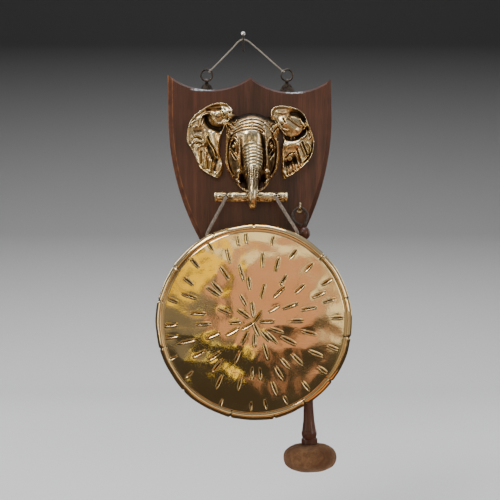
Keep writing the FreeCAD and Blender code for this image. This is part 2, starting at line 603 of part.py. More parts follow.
def beater():
    """The turned handle, the padding on its tenon and the leather cover, laid out down from the knob."""
    knob, neck = size("knob_radius"), 4.2
    collar, fall = size("collar_radius"), -size("collar_drop")
    tenon, foot = size("tenon_radius"), -size("collar_drop") - size("tenon_length")
    profile = [(0, 0), (2.6, -0.4), (neck, -2 * knob), (4.6, -30), (6.2, fall + 49), (7.2, fall + 30.5),
               (9.0, fall + 17.5), (9.0, fall + 9), (8.8, fall + 7.5), (collar, fall + 6.4), (collar, fall),
               (tenon, fall), (tenon, foot), (0, foot)]
    bulges = {1: (knob, -knob), 6: (9.9, fall + 13)}
    handle = turned("Handle", profile, bulges)
    lean = FreeCAD.Placement(V(size("beater_right"), -size("beater_depth"), -size("beater_drop")),
                             FreeCAD.Rotation(Y_AXIS, -size("beater_lean")))
    keep(handle, "beater_handle", PLAQUE.multiply(lean))
    wide, tall, skin = size("beater_radius"), size("beater_height") / 2, size("cover_thick")
    middle = fall - tall

    def head_body(name, inset, hole, hollow=None):
        """A flattened round head, its outline drawn in by inset, with a round hole in its top."""
        w, t = wide - inset, tall - inset
        shape = [(hole, middle + t), (w * 0.52, middle + t), (w, middle), (w * 0.52, middle - t),
                 (0, middle - t)]
        round_out = {1: (w * 0.885, middle + t * 0.66), 2: (w * 0.885, middle - t * 0.66)}
        if hollow is None:
            shape += [(0, foot), (hole, foot)]
        else:
            w2, t2 = wide - hollow, tall - hollow
            shape += [(0, middle - t2), (w2 * 0.52, middle - t2), (w2, middle), (w2 * 0.52, middle + t2),
                      (hole, middle + t2)]
            round_out[6] = (w2 * 0.885, middle - t2 * 0.66)
            round_out[7] = (w2 * 0.885, middle + t2 * 0.66)
            shape[4:6] = [(0, middle - t), (0, middle - t2)]
        return turned(name, shape, round_out)

    keep(head_body("Core", skin, tenon), "beater_core", PLAQUE.multiply(lean))
    keep(head_body("Cover", 0, tenon, skin), "beater_cover", PLAQUE.multiply(lean))


# ---------------------------------------------------------------- make them all, check, and write
wall_nail()
hanging_string()
shield_board()
for eye_side in ("left", "right"):
    hanger_plate(eye_side, size(f"{eye_side}_eye"))
elephant_head()
for ear_side in ("left", "right"):
    ear(ear_side)
gong_bar()
gong_disc()
gong_cords()
beater_hook()
beater_loop()
beater()
doc.recompute()

for thing in doc.Objects:
    if "Invalid" in thing.State or "Error" in thing.State:
        raise RuntimeError(f"{thing.Name} did not compute: {thing.State}")
os.makedirs("parts", exist_ok=True)
for node in nodes:
    if node.Shape.isNull() or not node.Shape.isValid():
        raise RuntimeError(f"{node.Label} has no valid shape")
    node.Shape.exportStep(f"parts/{node.Label}.step")
    box = node.Shape.BoundBox
    print(f"{node.Label}: {len(node.Shape.Solids)} solid(s), {node.Shape.Volume / 1000:.1f} cm3,"
          f" x {box.XMin:.1f}..{box.XMax:.1f} y {box.YMin:.1f}..{box.YMax:.1f}"
          f" z {box.ZMin:.1f}..{box.ZMax:.1f}")
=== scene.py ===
import math

import bpy
import numpy as np
from mathutils import Matrix, Vector


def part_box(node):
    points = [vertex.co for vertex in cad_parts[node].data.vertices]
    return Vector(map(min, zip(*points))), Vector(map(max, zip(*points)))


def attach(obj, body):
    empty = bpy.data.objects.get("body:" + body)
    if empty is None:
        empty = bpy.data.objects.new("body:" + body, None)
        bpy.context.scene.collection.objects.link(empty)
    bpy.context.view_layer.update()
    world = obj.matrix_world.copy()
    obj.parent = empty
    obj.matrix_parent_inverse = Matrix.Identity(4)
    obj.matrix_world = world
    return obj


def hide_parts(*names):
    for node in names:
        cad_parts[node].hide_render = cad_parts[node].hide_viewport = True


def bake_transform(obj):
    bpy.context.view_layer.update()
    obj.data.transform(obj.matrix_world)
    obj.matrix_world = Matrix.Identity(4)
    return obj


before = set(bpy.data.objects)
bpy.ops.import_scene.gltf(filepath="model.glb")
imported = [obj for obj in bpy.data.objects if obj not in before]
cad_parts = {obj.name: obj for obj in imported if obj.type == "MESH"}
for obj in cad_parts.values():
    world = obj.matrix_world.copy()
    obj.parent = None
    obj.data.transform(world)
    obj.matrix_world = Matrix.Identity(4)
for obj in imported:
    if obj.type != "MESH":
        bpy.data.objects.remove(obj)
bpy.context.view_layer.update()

# The looks of a wall gong: an elephant's head in cast brass on a shield of mahogany, a hammered brass gong
# on two thongs from the bar in its trunk, and a suede beater on a hook behind.
# Shapes are worked out in millimetres in the frame's own axes and turned into metres as meshes are made.
# What is fixed to the plaque is laid out from the plaque's datum: X from the board's centreline and Z from
# the axis of the hanger eyes.
MM = 0.001
FULL_TURN = 2 * math.pi
DATUM = np.array((9.0, 0.0, -49.8))
BOARD_FRONT = -20.0


# ---------------------------------------------------------------- sums used throughout
def clamped(value):
    """A value held between 0 and 1."""
    return np.clip(value, 0, 1)


def bell(offset, width):
    """1 where the offset is 0, falling away on both sides over a width."""
    return np.exp(-((offset / width) ** 2))


def melded(one, two, soft):
    """The smaller of two values, with the corner between them rounded over soft."""
    share = clamped(0.5 + 0.5 * (one - two) / soft)
    return one + (two - one) * share - soft * share * (1 - share)


def unit(rows):
    """Rows of numbers scaled to length 1."""
    return rows / np.linalg.norm(rows, axis=1)[:, None]


def around(count):
    """Evenly spaced angles round a ring."""
    return np.linspace(0, FULL_TURN, count, endpoint=False)


def angle_from(middle, angle):
    """How far angles lie from a middle one, between minus and plus half a turn."""
    return (angle - middle + math.pi) % FULL_TURN - math.pi


# ---------------------------------------------------------------- the camera
LENS = 97.6
CAMERA_PLACE = (0.009, -1.8, -0.2738)


def linked(name, data):
    """A new object in the scene."""
    holder = bpy.data.objects.new(name, data)
    bpy.context.scene.collection.objects.link(holder)
    return holder


def make_camera():
    """Level with the middle of the object and 1.8 m in front of the wall, on a long lens."""
    data = bpy.data.cameras.new("camera")
    data.lens = LENS
    camera = linked("camera", data)
    camera.location = CAMERA_PLACE
    camera.rotation_euler = (math.radians(90), 0, 0)
    bpy.context.scene.camera = camera


make_camera()


# ---------------------------------------------------------------- meshes from arrays
def new_piece(name, points, faces):
    """A smooth-shaded mesh object from points in millimetres and lists of corner numbers."""
    mesh = bpy.data.meshes.new(name)
    mesh.from_pydata([tuple(p) for p in np.asarray(points) * MM], [], [tuple(f) for f in faces])
    mesh.validate()
    mesh.polygons.foreach_set("use_smooth", [True] * len(mesh.polygons))
    mesh.update()
    return linked(name, mesh)


def quad_piece(name, points, quads):
    """As new_piece, for a large array of four-cornered faces."""
    mesh = bpy.data.meshes.new(name)
    mesh.vertices.add(len(points))
    mesh.vertices.foreach_set("co", (np.asarray(points) * MM).astype(np.float32).ravel())
    mesh.loops.add(quads.size)
    mesh.loops.foreach_set("vertex_index", quads.astype(np.int32).ravel())
    mesh.polygons.add(len(quads))
    mesh.polygons.foreach_set("loop_start", np.arange(0, quads.size, 4, dtype=np.int32))
    mesh.polygons.foreach_set("use_smooth", [True] * len(quads))
    mesh.update(calc_edges=True)
    mesh.validate()
    return linked(name, mesh)


def lattice(rows, count, closed=False, turned=False):
    """Point numbers of rows that each close into a ring, and the quads between the rows."""
    grid = np.arange(rows * count).reshape(rows, count)
    after = np.roll(grid, -1, 0)
    quads = np.stack([grid, np.roll(grid, -1, 1), np.roll(after, -1, 1), after], axis=-1)
    if not closed:
        quads = quads[:-1]
    if turned:
        quads = quads[..., [0, 3, 2, 1]]
    return grid, quads.reshape(-1, 4)


def corners(piece):
    """The points of a piece's mesh, in millimetres."""
    flat = np.zeros(len(piece.data.vertices) * 3)
    piece.data.vertices.foreach_get("co", flat)
    return flat.reshape(-1, 3) / MM


def set_corners(piece, points):
    piece.data.vertices.foreach_set("co", (points * MM).astype(np.float32).ravel())
    piece.data.update()


def set_value(piece, name, values):
    """Stores one number per point, for the materials."""
    attribute = piece.data.attributes.new(name, "FLOAT", "POINT")
    attribute.data.foreach_set("value", np.asarray(values, np.float32))


def edge_pairs(piece):
    flat = np.zeros(len(piece.data.edges) * 2, np.int32)
    piece.data.edges.foreach_get("vertices", flat)
    return flat.reshape(-1, 2)


def smoothed(points, edges, rounds):
    """Points moved half way to the mean of their neighbours, a number of times."""
    one, two = edges[:, 0], edges[:, 1]
    count = np.bincount(one, minlength=len(points)) + np.bincount(two, minlength=len(points))
    count = np.maximum(count, 1)[:, None]
    for _ in range(rounds):
        total = np.stack([np.bincount(one, points[two, k], len(points))
                          + np.bincount(two, points[one, k], len(points)) for k in range(3)], axis=1)
        points = 0.5 * points + 0.5 * total / count
    return points


def mark_hollows(piece):
    """Stores how deep each point lies in a fold, in mm: above 0 in recesses and below 0 on ridges."""
    points, edges = corners(piece), edge_pairs(piece)
    normals = np.zeros(len(points) * 3)
    piece.data.vertices.foreach_get("normal", normals)
    normals = normals.reshape(-1, 3)
    # the materials darken what lies deep: patina with painted shade on the brass, painted shade on cords and
    # suede
    for name, rounds in (("hollow", 3), ("hollow_wide", 18)):
        set_value(piece, name, np.sum((smoothed(points, edges, rounds) - points) * normals, axis=1))


def paint(piece, *materials):
    piece.data.materials.clear()
    for material in materials:
        piece.data.materials.append(material)


def stand_in(piece, body, node, slot, *materials):
    """Paints a piece that takes the place of a CAD node, hides the node, and says what it rides on. The slot
    is not used.
    """
    paint(piece, *materials)
    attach(piece, body)
    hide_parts(node)


# ---------------------------------------------------------------- materials
class Nodes:
    """A node tree being built. A value given to a node is a number, a colour or another node's output."""

    def __init__(self, tree):
        self.tree = tree

    def wire(self, socket, value):
        if isinstance(value, bpy.types.NodeSocket):
            self.tree.links.new(value, socket)
        elif isinstance(value, tuple) and len(value) == 3 and socket.type == "RGBA":
            socket.default_value = (*value, 1)
        else:
            socket.default_value = value

    def set(self, node, **settings):
        for name, value in settings.items():
            self.wire(node.inputs[name.replace("_", " ")], value)

    def add(self, kind, **settings):
        node = self.tree.nodes.new(kind)
        self.set(node, **settings)
        return node

    def calc(self, operation, *values):
        node = self.tree.nodes.new("ShaderNodeMath")
        node.operation = operation
        for socket, value in zip(node.inputs, values):
            self.wire(socket, value)
        return node.outputs[0]

    def plus(self, one, two):
        return self.calc("ADD", one, two)

    def times(self, one, two):
        return self.calc("MULTIPLY", one, two)

    def ramp(self, value, *stops):
        """Colours or greys along a value; each stop is (position, colour or grey)."""
        node = self.add("ShaderNodeValToRGB", Fac=value)
        band = node.color_ramp
        while len(band.elements) < len(stops):
            band.elements.new(0.5)
        for element, (position, colour) in zip(band.elements, stops):
            element.position = position
            element.color = (*colour, 1) if isinstance(colour, tuple) else (colour,) * 3 + (1,)
        return node.outputs[0]

    def mix(self, share, one, two, blend="MIX"):
        node = self.tree.nodes.new("ShaderNodeMix")
        node.data_type = "RGBA"
        node.blend_type = blend
        for index, value in ((0, share), (6, one), (7, two)):  # the factor and the two colours
            self.wire(node.inputs[index], value)
        return node.outputs[2]


class Finish(Nodes):
    """A material being built. Positions are the object's own, in metres."""

    def __init__(self, name, **settings):
        self.material = bpy.data.materials.new(name)
        self.material.use_nodes = True
        super().__init__(self.material.node_tree)
        self.shader = self.tree.nodes["Principled BSDF"]
        self.set(self.shader, **settings)
        self.place = self.add("ShaderNodeTexCoord").outputs["Object"]

    def done(self, colour, rough, relief):
        """Wires up the shader and hands over the material."""
        self.set(self.shader, Base_Color=colour, Roughness=rough, Normal=relief)
        return self.material

    def stretched(self, scale, turn=(0, 0, 0)):
        """Positions scaled along each axis."""
        return self.add("ShaderNodeMapping", Vector=self.place, Scale=scale, Rotation=turn).outputs[0]

    def noise(self, scale, detail=4.0, rough=0.55, at=None, warp=0.0):
        return self.add("ShaderNodeTexNoise", Vector=at or self.place, Scale=scale, Detail=detail,
                        Roughness=rough, Distortion=warp).outputs["Fac"]

    def point_value(self, name):
        node = self.tree.nodes.new("ShaderNodeAttribute")
        node.attribute_name = name
        return node.outputs["Fac"]

    def bump(self, height, depth, strength=1.0, under=None):
        """Fine relief, its depth in metres."""
        node = self.add("ShaderNodeBump", Height=height, Distance=depth, Strength=strength)
        if under is not None:
            self.set(node, Normal=under)
        return node.outputs[0]


def darker(colour, share):
    return tuple(c * share for c in colour)


def cast_brass():
    """Old cast brass: pale and polished on the ridges, brown to black in the folds as patina deepened with
    painted shade, coppery where worn and where a warm reflection is painted.
    """
    m = Finish("cast_brass", Metallic=1.0)
    # patina in the folds, deepened into painted shade
    hollow = m.plus(m.point_value("hollow"), m.times(m.point_value("hollow_wide"), 0.45))
    lift = m.plus(hollow, m.times(m.calc("SUBTRACT", m.noise(260, 5, 0.6), 0.5), 0.22))
    # painted shade and dark streaks from the marked patches darken the brass further
    level = m.calc("MULTIPLY_ADD", m.plus(lift, m.point_value("grime_and_shade")), 2.2, 0.40)
    tone = m.ramp(level, (0.22, (1.0, 0.90, 0.62)), (0.44, (0.92, 0.76, 0.47)), (0.60, (0.50, 0.37, 0.20)),
                  (0.78, (0.12, 0.082, 0.046)), (1.0, (0.022, 0.016, 0.011)))
    stain = m.ramp(m.noise(60, 4, 0.6), (0.35, 0.0), (0.75, 0.30))
    tone = m.mix(stain, tone, (0.66, 0.48, 0.26), "MULTIPLY")
    # copper tint: a painted warm reflection at the trunk's tip, on the bar's underside and behind the trunk,
    # with the ears' copper patches
    worn = m.times(m.point_value("copper"), m.ramp(m.noise(130, 4, 0.6), (0.30, 0.45), (0.60, 1.0)))
    tone = m.mix(m.times(worn, 0.8), tone, (0.96, 0.63, 0.38), "MULTIPLY")
    rough = m.plus(m.ramp(level, (0.3, 0.17), (0.6, 0.32), (0.9, 0.60)), m.times(worn, 0.14))
    return m.done(tone, rough, m.bump(m.noise(900, 3), 0.00006, 0.6, m.bump(m.noise(240, 3), 0.00022, 0.5)))


def gong_brass():
    """Bright sheet brass, brushed and lightly tarnished, with painted shade in its chased marks and at the
    crease.
    """
    m = Finish("gong_brass", Metallic=1.0)
    patch = m.noise(16, 4, 0.6)
    tone = m.ramp(patch, (0.30, (0.90, 0.64, 0.30)), (0.55, (0.93, 0.70, 0.37)), (0.75, (0.84, 0.57, 0.26)))
    tone = m.mix(m.ramp(m.noise(420, 3, 0.6), (0.64, 0.0), (0.74, 0.35)), tone, (0.35, 0.20, 0.09))
    # painted shade: near black in the marks' troughs, along the rim's crease and in its pinches
    tone = m.mix(m.ramp(m.point_value("mark"), (0.25, 0.0), (0.62, 0.92)), tone, (0.040, 0.022, 0.010))
    brushed = m.noise(1.0, 3, 0.6, at=m.stretched((90, 90, 1400), (0, math.radians(34), 0)))
    wiped = m.noise(1.0, 2, 0.5, at=m.stretched((1500, 90, 70), (0, math.radians(-18), 0)))
    rough = m.plus(m.ramp(patch, (0.3, 0.035), (0.7, 0.09)), m.times(brushed, 0.05))
    uneven = m.bump(wiped, 0.00001, 0.4, m.bump(m.noise(70, 3), 0.0004, 0.22))
    return m.done(tone, rough, m.bump(brushed, 0.000012, 0.5, uneven))


def brass_back():
    """The gong's unpolished back and flange: duller, browner, with the hammer's scale."""
    m = Finish("gong_back_brass", Metallic=1.0)
    patch, speck = m.noise(30, 5, 0.65), m.noise(300, 4, 0.6)
    tone = m.ramp(patch, (0.30, (0.30, 0.19, 0.075)), (0.55, (0.46, 0.31, 0.13)), (0.78, (0.17, 0.10, 0.045)))
    tone = m.mix(m.ramp(speck, (0.58, 0.0), (0.72, 0.6)), tone, (0.07, 0.045, 0.02))
    return m.done(tone, m.ramp(speck, (0.3, 0.34), (0.7, 0.58)), m.bump(m.noise(120, 4), 0.0005, 0.5))


# The board in metres: half width, the radius of its long edges, where they start to curve, and its bevel.
BOARD_HALF, ARC_RADIUS, ARC_START, BEVEL = 0.1076, 0.3445, -0.0966, 0.006
# Painted highlights in the top edge's scoops below the hanger rings, in metres: middle x, z and half sizes.
SCOOP_HIGHLIGHTS = ((-0.0535, -0.0630, 0.0170, 0.0024), (0.0675, -0.0664, 0.0145, 0.0026))


def painted_edge_highlights(m, tone):
    """Painted highlights: unlacquered orange wood colour along the bevel's corners, strongest on the left
    edge, and pale specks in the scoops at the top.
    """
    split = m.add("ShaderNodeSeparateXYZ", Vector=m.place)
    x, z = split.outputs["X"], split.outputs["Z"]
    aside = m.calc("ABSOLUTE", m.calc("SUBTRACT", x, DATUM[0] * MM))
    aside = m.plus(aside, ARC_RADIUS - BOARD_HALF)
    below = m.calc("MINIMUM", m.calc("SUBTRACT", z, ARC_START), 0.0)
    from_centre = m.calc("POWER", m.plus(m.calc("POWER", aside, 2.0), m.times(below, below)), 0.5)
    inset = m.calc("DIVIDE", m.calc("SUBTRACT", ARC_RADIUS, from_centre), BEVEL * 2)
    # painted highlight: two light lines along the bevel's outer and inner corners
    lines = m.ramp(inset, (0.0, 0.9), (0.05, 0.28), (0.43, 0.22), (0.49, 0.95), (0.56, 0.0))
    # strong on the left, where the light falls, and faint on the right
    lines = m.times(lines, m.ramp(x, (0.0, 1.0), (0.03, 0.25)))
    highlight_breakup = m.ramp(m.noise(70, 5, 0.65), (0.40, 0.15), (0.60, 1.0))
    grain = m.noise(1.0, 4, 0.6, at=m.stretched((300, 300, 12)))
    highlight_wood = m.ramp(grain, (0.35, (0.20, 0.070, 0.026)), (0.65, (0.42, 0.165, 0.060)))
    tone = m.mix(m.times(lines, highlight_breakup), tone, highlight_wood)
    # pale bluish specks in the scoops: a painted highlight on the lacquered edge
    highlight_specks = m.ramp(m.noise(520, 4, 0.7), (0.45, 0.0), (0.54, 1.0))
    for middle_x, middle_z, half_x, half_z in SCOOP_HIGHLIGHTS:
        across = m.calc("DIVIDE", m.calc("SUBTRACT", x, middle_x), half_x)
        above = m.calc("DIVIDE", m.calc("SUBTRACT", z, middle_z), half_z)
        reach = m.plus(m.times(across, across), m.times(above, above))
        tone = m.mix(m.times(m.ramp(reach, (0.45, 1.0), (1.0, 0.0)), highlight_specks), tone, (0.52, 0.60, 0.68))
    return tone


def mahogany(name="mahogany", dark=1.0, scale=1.0, shine=0.34, edge=False):
    """Dark red-brown wood with upright grain and open pores, under worn lacquer, with or without painted
    highlights on its edges.
    """
    m = Finish(name, Coat_Weight=0.35, Coat_Roughness=0.22, Specular_IOR_Level=0.4)
    broad = m.noise(1.0, 5, 0.6, at=m.stretched((55 * scale, 55 * scale, 3.2)), warp=0.6)
    fine = m.noise(1.0, 6, 0.62, at=m.stretched((420 * scale, 420 * scale, 13)), warp=0.35)
    pores = m.noise(1.0, 2, 0.5, at=m.stretched((1500, 1500, 42)))
    deep, mid, red = (darker(colour, dark) for colour in
                      ((0.022, 0.0074, 0.0042), (0.064, 0.0205, 0.0108), (0.125, 0.040, 0.0190)))
    figure = m.plus(m.times(broad, 0.6), m.times(fine, 0.4))
    tone = m.ramp(figure, (0.36, deep), (0.50, mid), (0.64, red))
    tone = m.mix(m.ramp(pores, (0.34, 0.85), (0.46, 0.0)), tone, deep)
    tone = m.mix(m.ramp(m.noise(9, 3, 0.6), (0.35, 0.0), (0.75, 0.4)), tone, darker(red, 1.5))
    if edge:
        # painted highlights along the board's edges and in its scoops
        tone = painted_edge_highlights(m, tone)
    rough = m.ramp(fine, (0.3, shine), (0.7, shine + 0.16))
    return m.done(tone, rough, m.bump(pores, 0.00008, 0.35, m.bump(fine, 0.00015, 0.35)))


def fibre(name, light, dark, stretch, rough=0.85, sheen=0.3):
    """String, leather lace or thong: fine fibres along it, with painted shade between the strands."""
    m = Finish(name, Sheen_Weight=sheen, Sheen_Roughness=0.5, Specular_IOR_Level=0.25)
    fuzz = m.noise(1.0, 4, 0.65, at=m.stretched(stretch))
    patch = m.noise(150, 4, 0.6)
    tone = m.mix(m.ramp(fuzz, (0.35, 0.0), (0.65, 1.0)), dark, light)
    tone = m.mix(m.ramp(patch, (0.45, 0.0), (0.62, 0.5)), tone, dark)
    # painted shade in the grooves between the strands
    tone = m.mix(m.ramp(m.point_value("hollow"), (0.02, 0.0), (0.16, 0.8)), tone, darker(dark, 0.3))
    return m.done(tone, m.ramp(patch, (0.3, rough - 0.15), (0.7, rough)), m.bump(fuzz, 0.00012, 0.7))


def metal(name, bright, dull, rough):
    """A plain metal part with tarnish in patches and fine handling marks."""
    m = Finish(name, Metallic=1.0)
    patch, fine = m.noise(300, 4, 0.6), m.noise(1200, 3, 0.6)
    tone = m.mix(m.ramp(patch, (0.40, 0.0), (0.66, 1.0)), bright, dull)
    tone = m.mix(m.ramp(fine, (0.60, 0.0), (0.75, 0.35)), tone, darker(dull, 0.3))
    return m.done(tone, m.ramp(patch, (0.3, rough), (0.7, rough + 0.22)), m.bump(fine, 0.00005, 0.5))


def suede():
    """Mottled brown suede, napped, with painted shade in its creases."""
    m = Finish("suede", Sheen_Weight=0.14, Sheen_Roughness=0.5, Sheen_Tint=(0.95, 0.72, 0.52),
               Specular_IOR_Level=0.12)
    broad, mid, nap = m.noise(38, 5, 0.62, warp=0.5), m.noise(150, 5, 0.65), m.noise(1500, 3, 0.7)
    tone = m.ramp(broad, (0.30, (0.120, 0.052, 0.024)), (0.50, (0.205, 0.100, 0.046)),
                  (0.68, (0.290, 0.158, 0.076)))
    tone = m.mix(m.ramp(mid, (0.40, 0.60), (0.58, 0.0)), tone, (0.100, 0.045, 0.022))
    tone = m.mix(m.ramp(nap, (0.42, 0.35), (0.60, 0.0)), tone, (0.07, 0.033, 0.018))
    # painted shade in the creases
    tone = m.mix(m.ramp(m.point_value("hollow"), (0.03, 0.0), (0.35, 0.85)), tone, (0.02, 0.010, 0.006))
    return m.done(tone, 0.95, m.bump(nap, 0.00025, 0.8, m.bump(mid, 0.0006, 0.5)))


def felt():
    """Pale wool felt, in wisps."""
    m = Finish("wool_felt", Sheen_Weight=0.5)
    wisp = m.noise(700, 5, 0.7, warp=1.5)
    tone = m.ramp(wisp, (0.35, (0.34, 0.31, 0.26)), (0.65, (0.62, 0.58, 0.5)))
    return m.done(tone, 0.95, m.bump(wisp, 0.0004, 0.8))


def studio_paint():
    """The pale floor, very faintly uneven, its sweep graded to grey as it rises: painted shade, as if the
    light fell off up the backdrop.
    """
    m = Finish("studio_paint", Roughness=0.9)
    height = m.add("ShaderNodeSeparateXYZ", Vector=m.place).outputs["Z"]
    # painted shade: pale low down, near black high up the sweep
    tone = m.ramp(m.calc("MULTIPLY_ADD", height, 0.5, 0.5), (0.17, (0.97, 0.97, 0.975)),
                  (0.39, (0.31, 0.31, 0.315)), (0.72, (0.022, 0.022, 0.023)))
    cloud = m.ramp(m.noise(1.3, 3, 0.5), (0.3, 0.96), (0.7, 1.0))
    m.set(m.shader, Base_Color=m.mix(1.0, tone, cloud, "MULTIPLY"))
    return m.material


BRASS = cast_brass()
WOOD = mahogany(dark=0.88, edge=True)
TWINE = fibre("twine", (0.47, 0.42, 0.35), (0.19, 0.16, 0.125), (900, 900, 900))
THONG = fibre("thong_leather", (0.37, 0.30, 0.245), (0.11, 0.085, 0.065), (700, 700, 120), 0.8, 0.2)
LOOP = fibre("loop_leather", (0.105, 0.080, 0.064), (0.026, 0.019, 0.015), (700, 700, 200), 0.6, 0.2)


# ---------------------------------------------------------------- cords
# Routes in millimetres: the twine from ring to ring over the nail, and each thong from behind
# the bar, through it and down, to inside the gong's rim.
STRING_ROUTE = [(-43.72, -3.35, -36.21), (-14.5, -5.2, -7.2), (-4.6, -6.0, 4.7), (4.4, -6.0, 4.9),
                (14.0, -5.4, -3.0), (52.63, -3.35, -36.83)]
THONG_ROUTES = {
    "left": [(-21.3, -79.0, -207.5), (-21.3, -87.0, -207.3), (-23.9, -87.6, -212.4), (-41.5, -87.2, -245.5),
             (-46.0, -87.0, -254.2), (-44.8, -87.0, -260.2)],
    "right": [(41.8, -79.0, -207.5), (41.8, -87.0, -207.3), (44.6, -87.6, -212.2), (64.3, -87.2, -243.5),
              (69.6, -87.0, -251.8), (68.7, -87.0, -258.0)],
}
# The hook's seat for the beater's loop, and the loop's route from there in X and Z.
HOOK = (74.0, -36.5, -221.0)
LOOP_ROUTE = [(3.0, -20.5), (-4.5, -19.2), (-11.0, -11.0), (-8.6, -1.8), (0.0, 3.78), (8.4, -2.0),
              (11.0, -10.8), (6.3, -20.5)]
GONG_CENTRE = np.array((14.0, -94.6, -364.7))
# Each knot's radius and the thickness of its strand, and the depth of the thongs' knots behind the bar.
TWINE_KNOT, THONG_KNOT, KNOT_DEPTH = (2.7, 0.9), (4.3, 1.7), -67.3


def metres(point):
    return tuple(c * MM for c in point)


def route_line(name, route):
    """The points of a smooth NURBS through a given route, in millimetres."""
    data = bpy.data.curves.new(name, "CURVE")
    data.dimensions = "3D"
    spline = data.splines.new("NURBS")
    spline.points.add(len(route) - 1)
    for point, place in zip(spline.points, route):
        point.co = (*metres(place), 1.0)
    spline.order_u = 3
    spline.use_endpoint_u = True
    spline.resolution_u = 40
    holder = linked(name, data)
    bpy.context.view_layer.update()
    mesh = bpy.data.meshes.new_from_object(holder)
    line = np.array([v.co for v in mesh.vertices]) / MM
    bpy.data.objects.remove(holder)
    bpy.data.meshes.remove(mesh)
    return line


def evenly(line, step):
    """The same line with its points a step apart, and how far along it each is."""
    length = np.concatenate([[0], np.cumsum(np.linalg.norm(np.diff(line, axis=0), axis=1))])
    wanted = np.linspace(0, length[-1], max(4, int(length[-1] / step)))
    return np.stack([np.interp(wanted, length, line[:, k]) for k in range(3)], axis=1), wanted


def carried_frames(line):
    """Two directions square to the line at each point, carried along it without twisting."""
    along = unit(np.gradient(line, axis=0))
    side = np.cross(along[0], (0, 1, 0))
    if np.linalg.norm(side) < 0.2:
        side = np.cross(along[0], (1, 0, 0))
    sides = []
    for direction in along:
        side = side - direction * side.dot(direction)
        side = side / np.linalg.norm(side)
        sides.append(side)
    sides = np.array(sides)
    return sides, np.cross(along, sides)


def rings_round(line, reach, angle, side, other):
    """A ring of points round each point of a line, every one at its own reach."""
    outward = (np.cos(angle)[None, :, None] * side[:, None, :]
               + np.sin(angle)[None, :, None] * other[:, None, :])
    return line[:, None, :] + reach[..., None] * outward


def rope(name, route, radius, strands, lay_length, groove, step, round_points, seed=1):
    """A cord along a route: strands with grooves between them, turning once in each lay_length."""
    line, along = evenly(route_line(name + "_route", route), step)
    side, other = carried_frames(line)
    angle = around(round_points)
    turn = angle[None, :] - FULL_TURN * along[:, None] / lay_length
    worn = np.random.default_rng(seed)
    wave = sum(np.sin(along / worn.uniform(1.5, 6) + worn.uniform(0, 6)) for _ in range(5)) / 5
    reach = radius * (1 - groove * (1 - np.abs(np.cos(strands * turn / 2)) ** 0.7))
    reach = np.maximum(reach * (1 + 0.05 * wave[:, None]), radius * 0.3)
    points = rings_round(line, reach, angle, side, other).reshape(-1, 3)
    grid, quads = lattice(len(line), round_points)
    faces = [list(q) for q in quads]
    for row, ring in ((0, grid[0][::-1]), (-1, grid[-1])):
        faces += [[a, b, len(points)] for a, b in zip(ring, np.roll(ring, -1))]
        points = np.vstack([points, line[row]])
    piece = new_piece(name, points, faces)
    mark_hollows(piece)
    return piece, line * MM


def knot(name, centre, radius, strand, seed):
    """A small overhand knot: one strand wound round itself in a trefoil, in millimetres."""
    t = around(160)
    path = np.stack([np.sin(t) + 2 * np.sin(2 * t), np.cos(t) - 2 * np.cos(2 * t), -np.sin(3 * t)], axis=1)
    path = path / 3.0 * (radius - strand * 0.8)
    spin = Matrix.Rotation(seed * 1.3, 3, "Z") @ Matrix.Rotation(1.1 + seed, 3, "X")
    path = path @ np.array(spin).T + np.array(centre)
    along = unit(np.roll(path, -1, 0) - np.roll(path, 1, 0))
    side = unit(np.cross(along, (0.3, 0.2, 0.9)))
    angle = around(14)
    reach = strand * (1 - 0.16 * (1 - np.abs(np.cos(1.5 * (angle[None, :] - 9 * t[:, None])))))
    points = rings_round(path, reach, angle, side, np.cross(along, side))
    piece = quad_piece(name, points.reshape(-1, 3), lattice(len(t), len(angle), closed=True)[1])
    mark_hollows(piece)
    return piece


def make_string():
    """The twine over the nail, tied to both hanger rings."""
    string, line = rope("twine_string", STRING_ROUTE, radius=1.0, strands=3, lay_length=6.0, groove=0.34,
                        step=0.3, round_points=20)
    for seed, (side, place) in enumerate((("left", STRING_ROUTE[0]), ("right", STRING_ROUTE[-1])), 1):
        tied = knot(f"twine_knot_{side}", place, *TWINE_KNOT, seed)
        stand_in(tied, "hanging_loop", f"string_knot_{side}", "string_twine", TWINE)
    stand_in(string, "hanging_loop", "hanging_string", "string_twine", TWINE)


def make_thongs():
    """The two thongs that carry the gong, each knotted behind the bar and inside the rim."""
    for side, route in THONG_ROUTES.items():
        thong, line = rope(f"gong_thong_{side}", route, radius=2.1, strands=5, lay_length=55.0, groove=0.22,
                           step=0.45, round_points=30, seed=3)
        paint(thong, THONG)
        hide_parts(f"gong_cord_{side}")
        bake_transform(thong)
        bar_knot = knot(f"thong_knot_bar_{side}", (route[0][0], KNOT_DEPTH, route[0][2]), *THONG_KNOT, 3)
        stand_in(bar_knot, "plaque", f"bar_knot_{side}", "thong_leather", THONG)
        low, high = (np.array(c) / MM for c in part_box(f"rim_knot_{side}"))
        inward = GONG_CENTRE - (low + high) / 2
        inward[1] = 0
        place = (low + high) / 2 + inward / np.linalg.norm(inward)
        rim_knot = knot(f"thong_knot_rim_{side}", place, *THONG_KNOT, 4)
        stand_in(rim_knot, "gong", f"rim_knot_{side}", "thong_leather", THONG)


def make_loop():
    """The beater's loop, doubled: two strands side by side over the hook."""
    for label, lean, wide in (("front", -1.6, 1.0), ("back", 1.6, 0.84)):
        route = [(HOOK[0] + dx * wide, HOOK[1] + lean, HOOK[2] + dz) for dx, dz in LOOP_ROUTE]
        loop, line = rope(f"beater_thong_{label}", route, radius=1.6, strands=3, lay_length=17.0, groove=0.3,
                          step=0.4, round_points=20, seed=6)
        paint(loop, LOOP)
        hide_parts("beater_loop")
        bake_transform(loop)


make_string()
make_thongs()
make_loop()


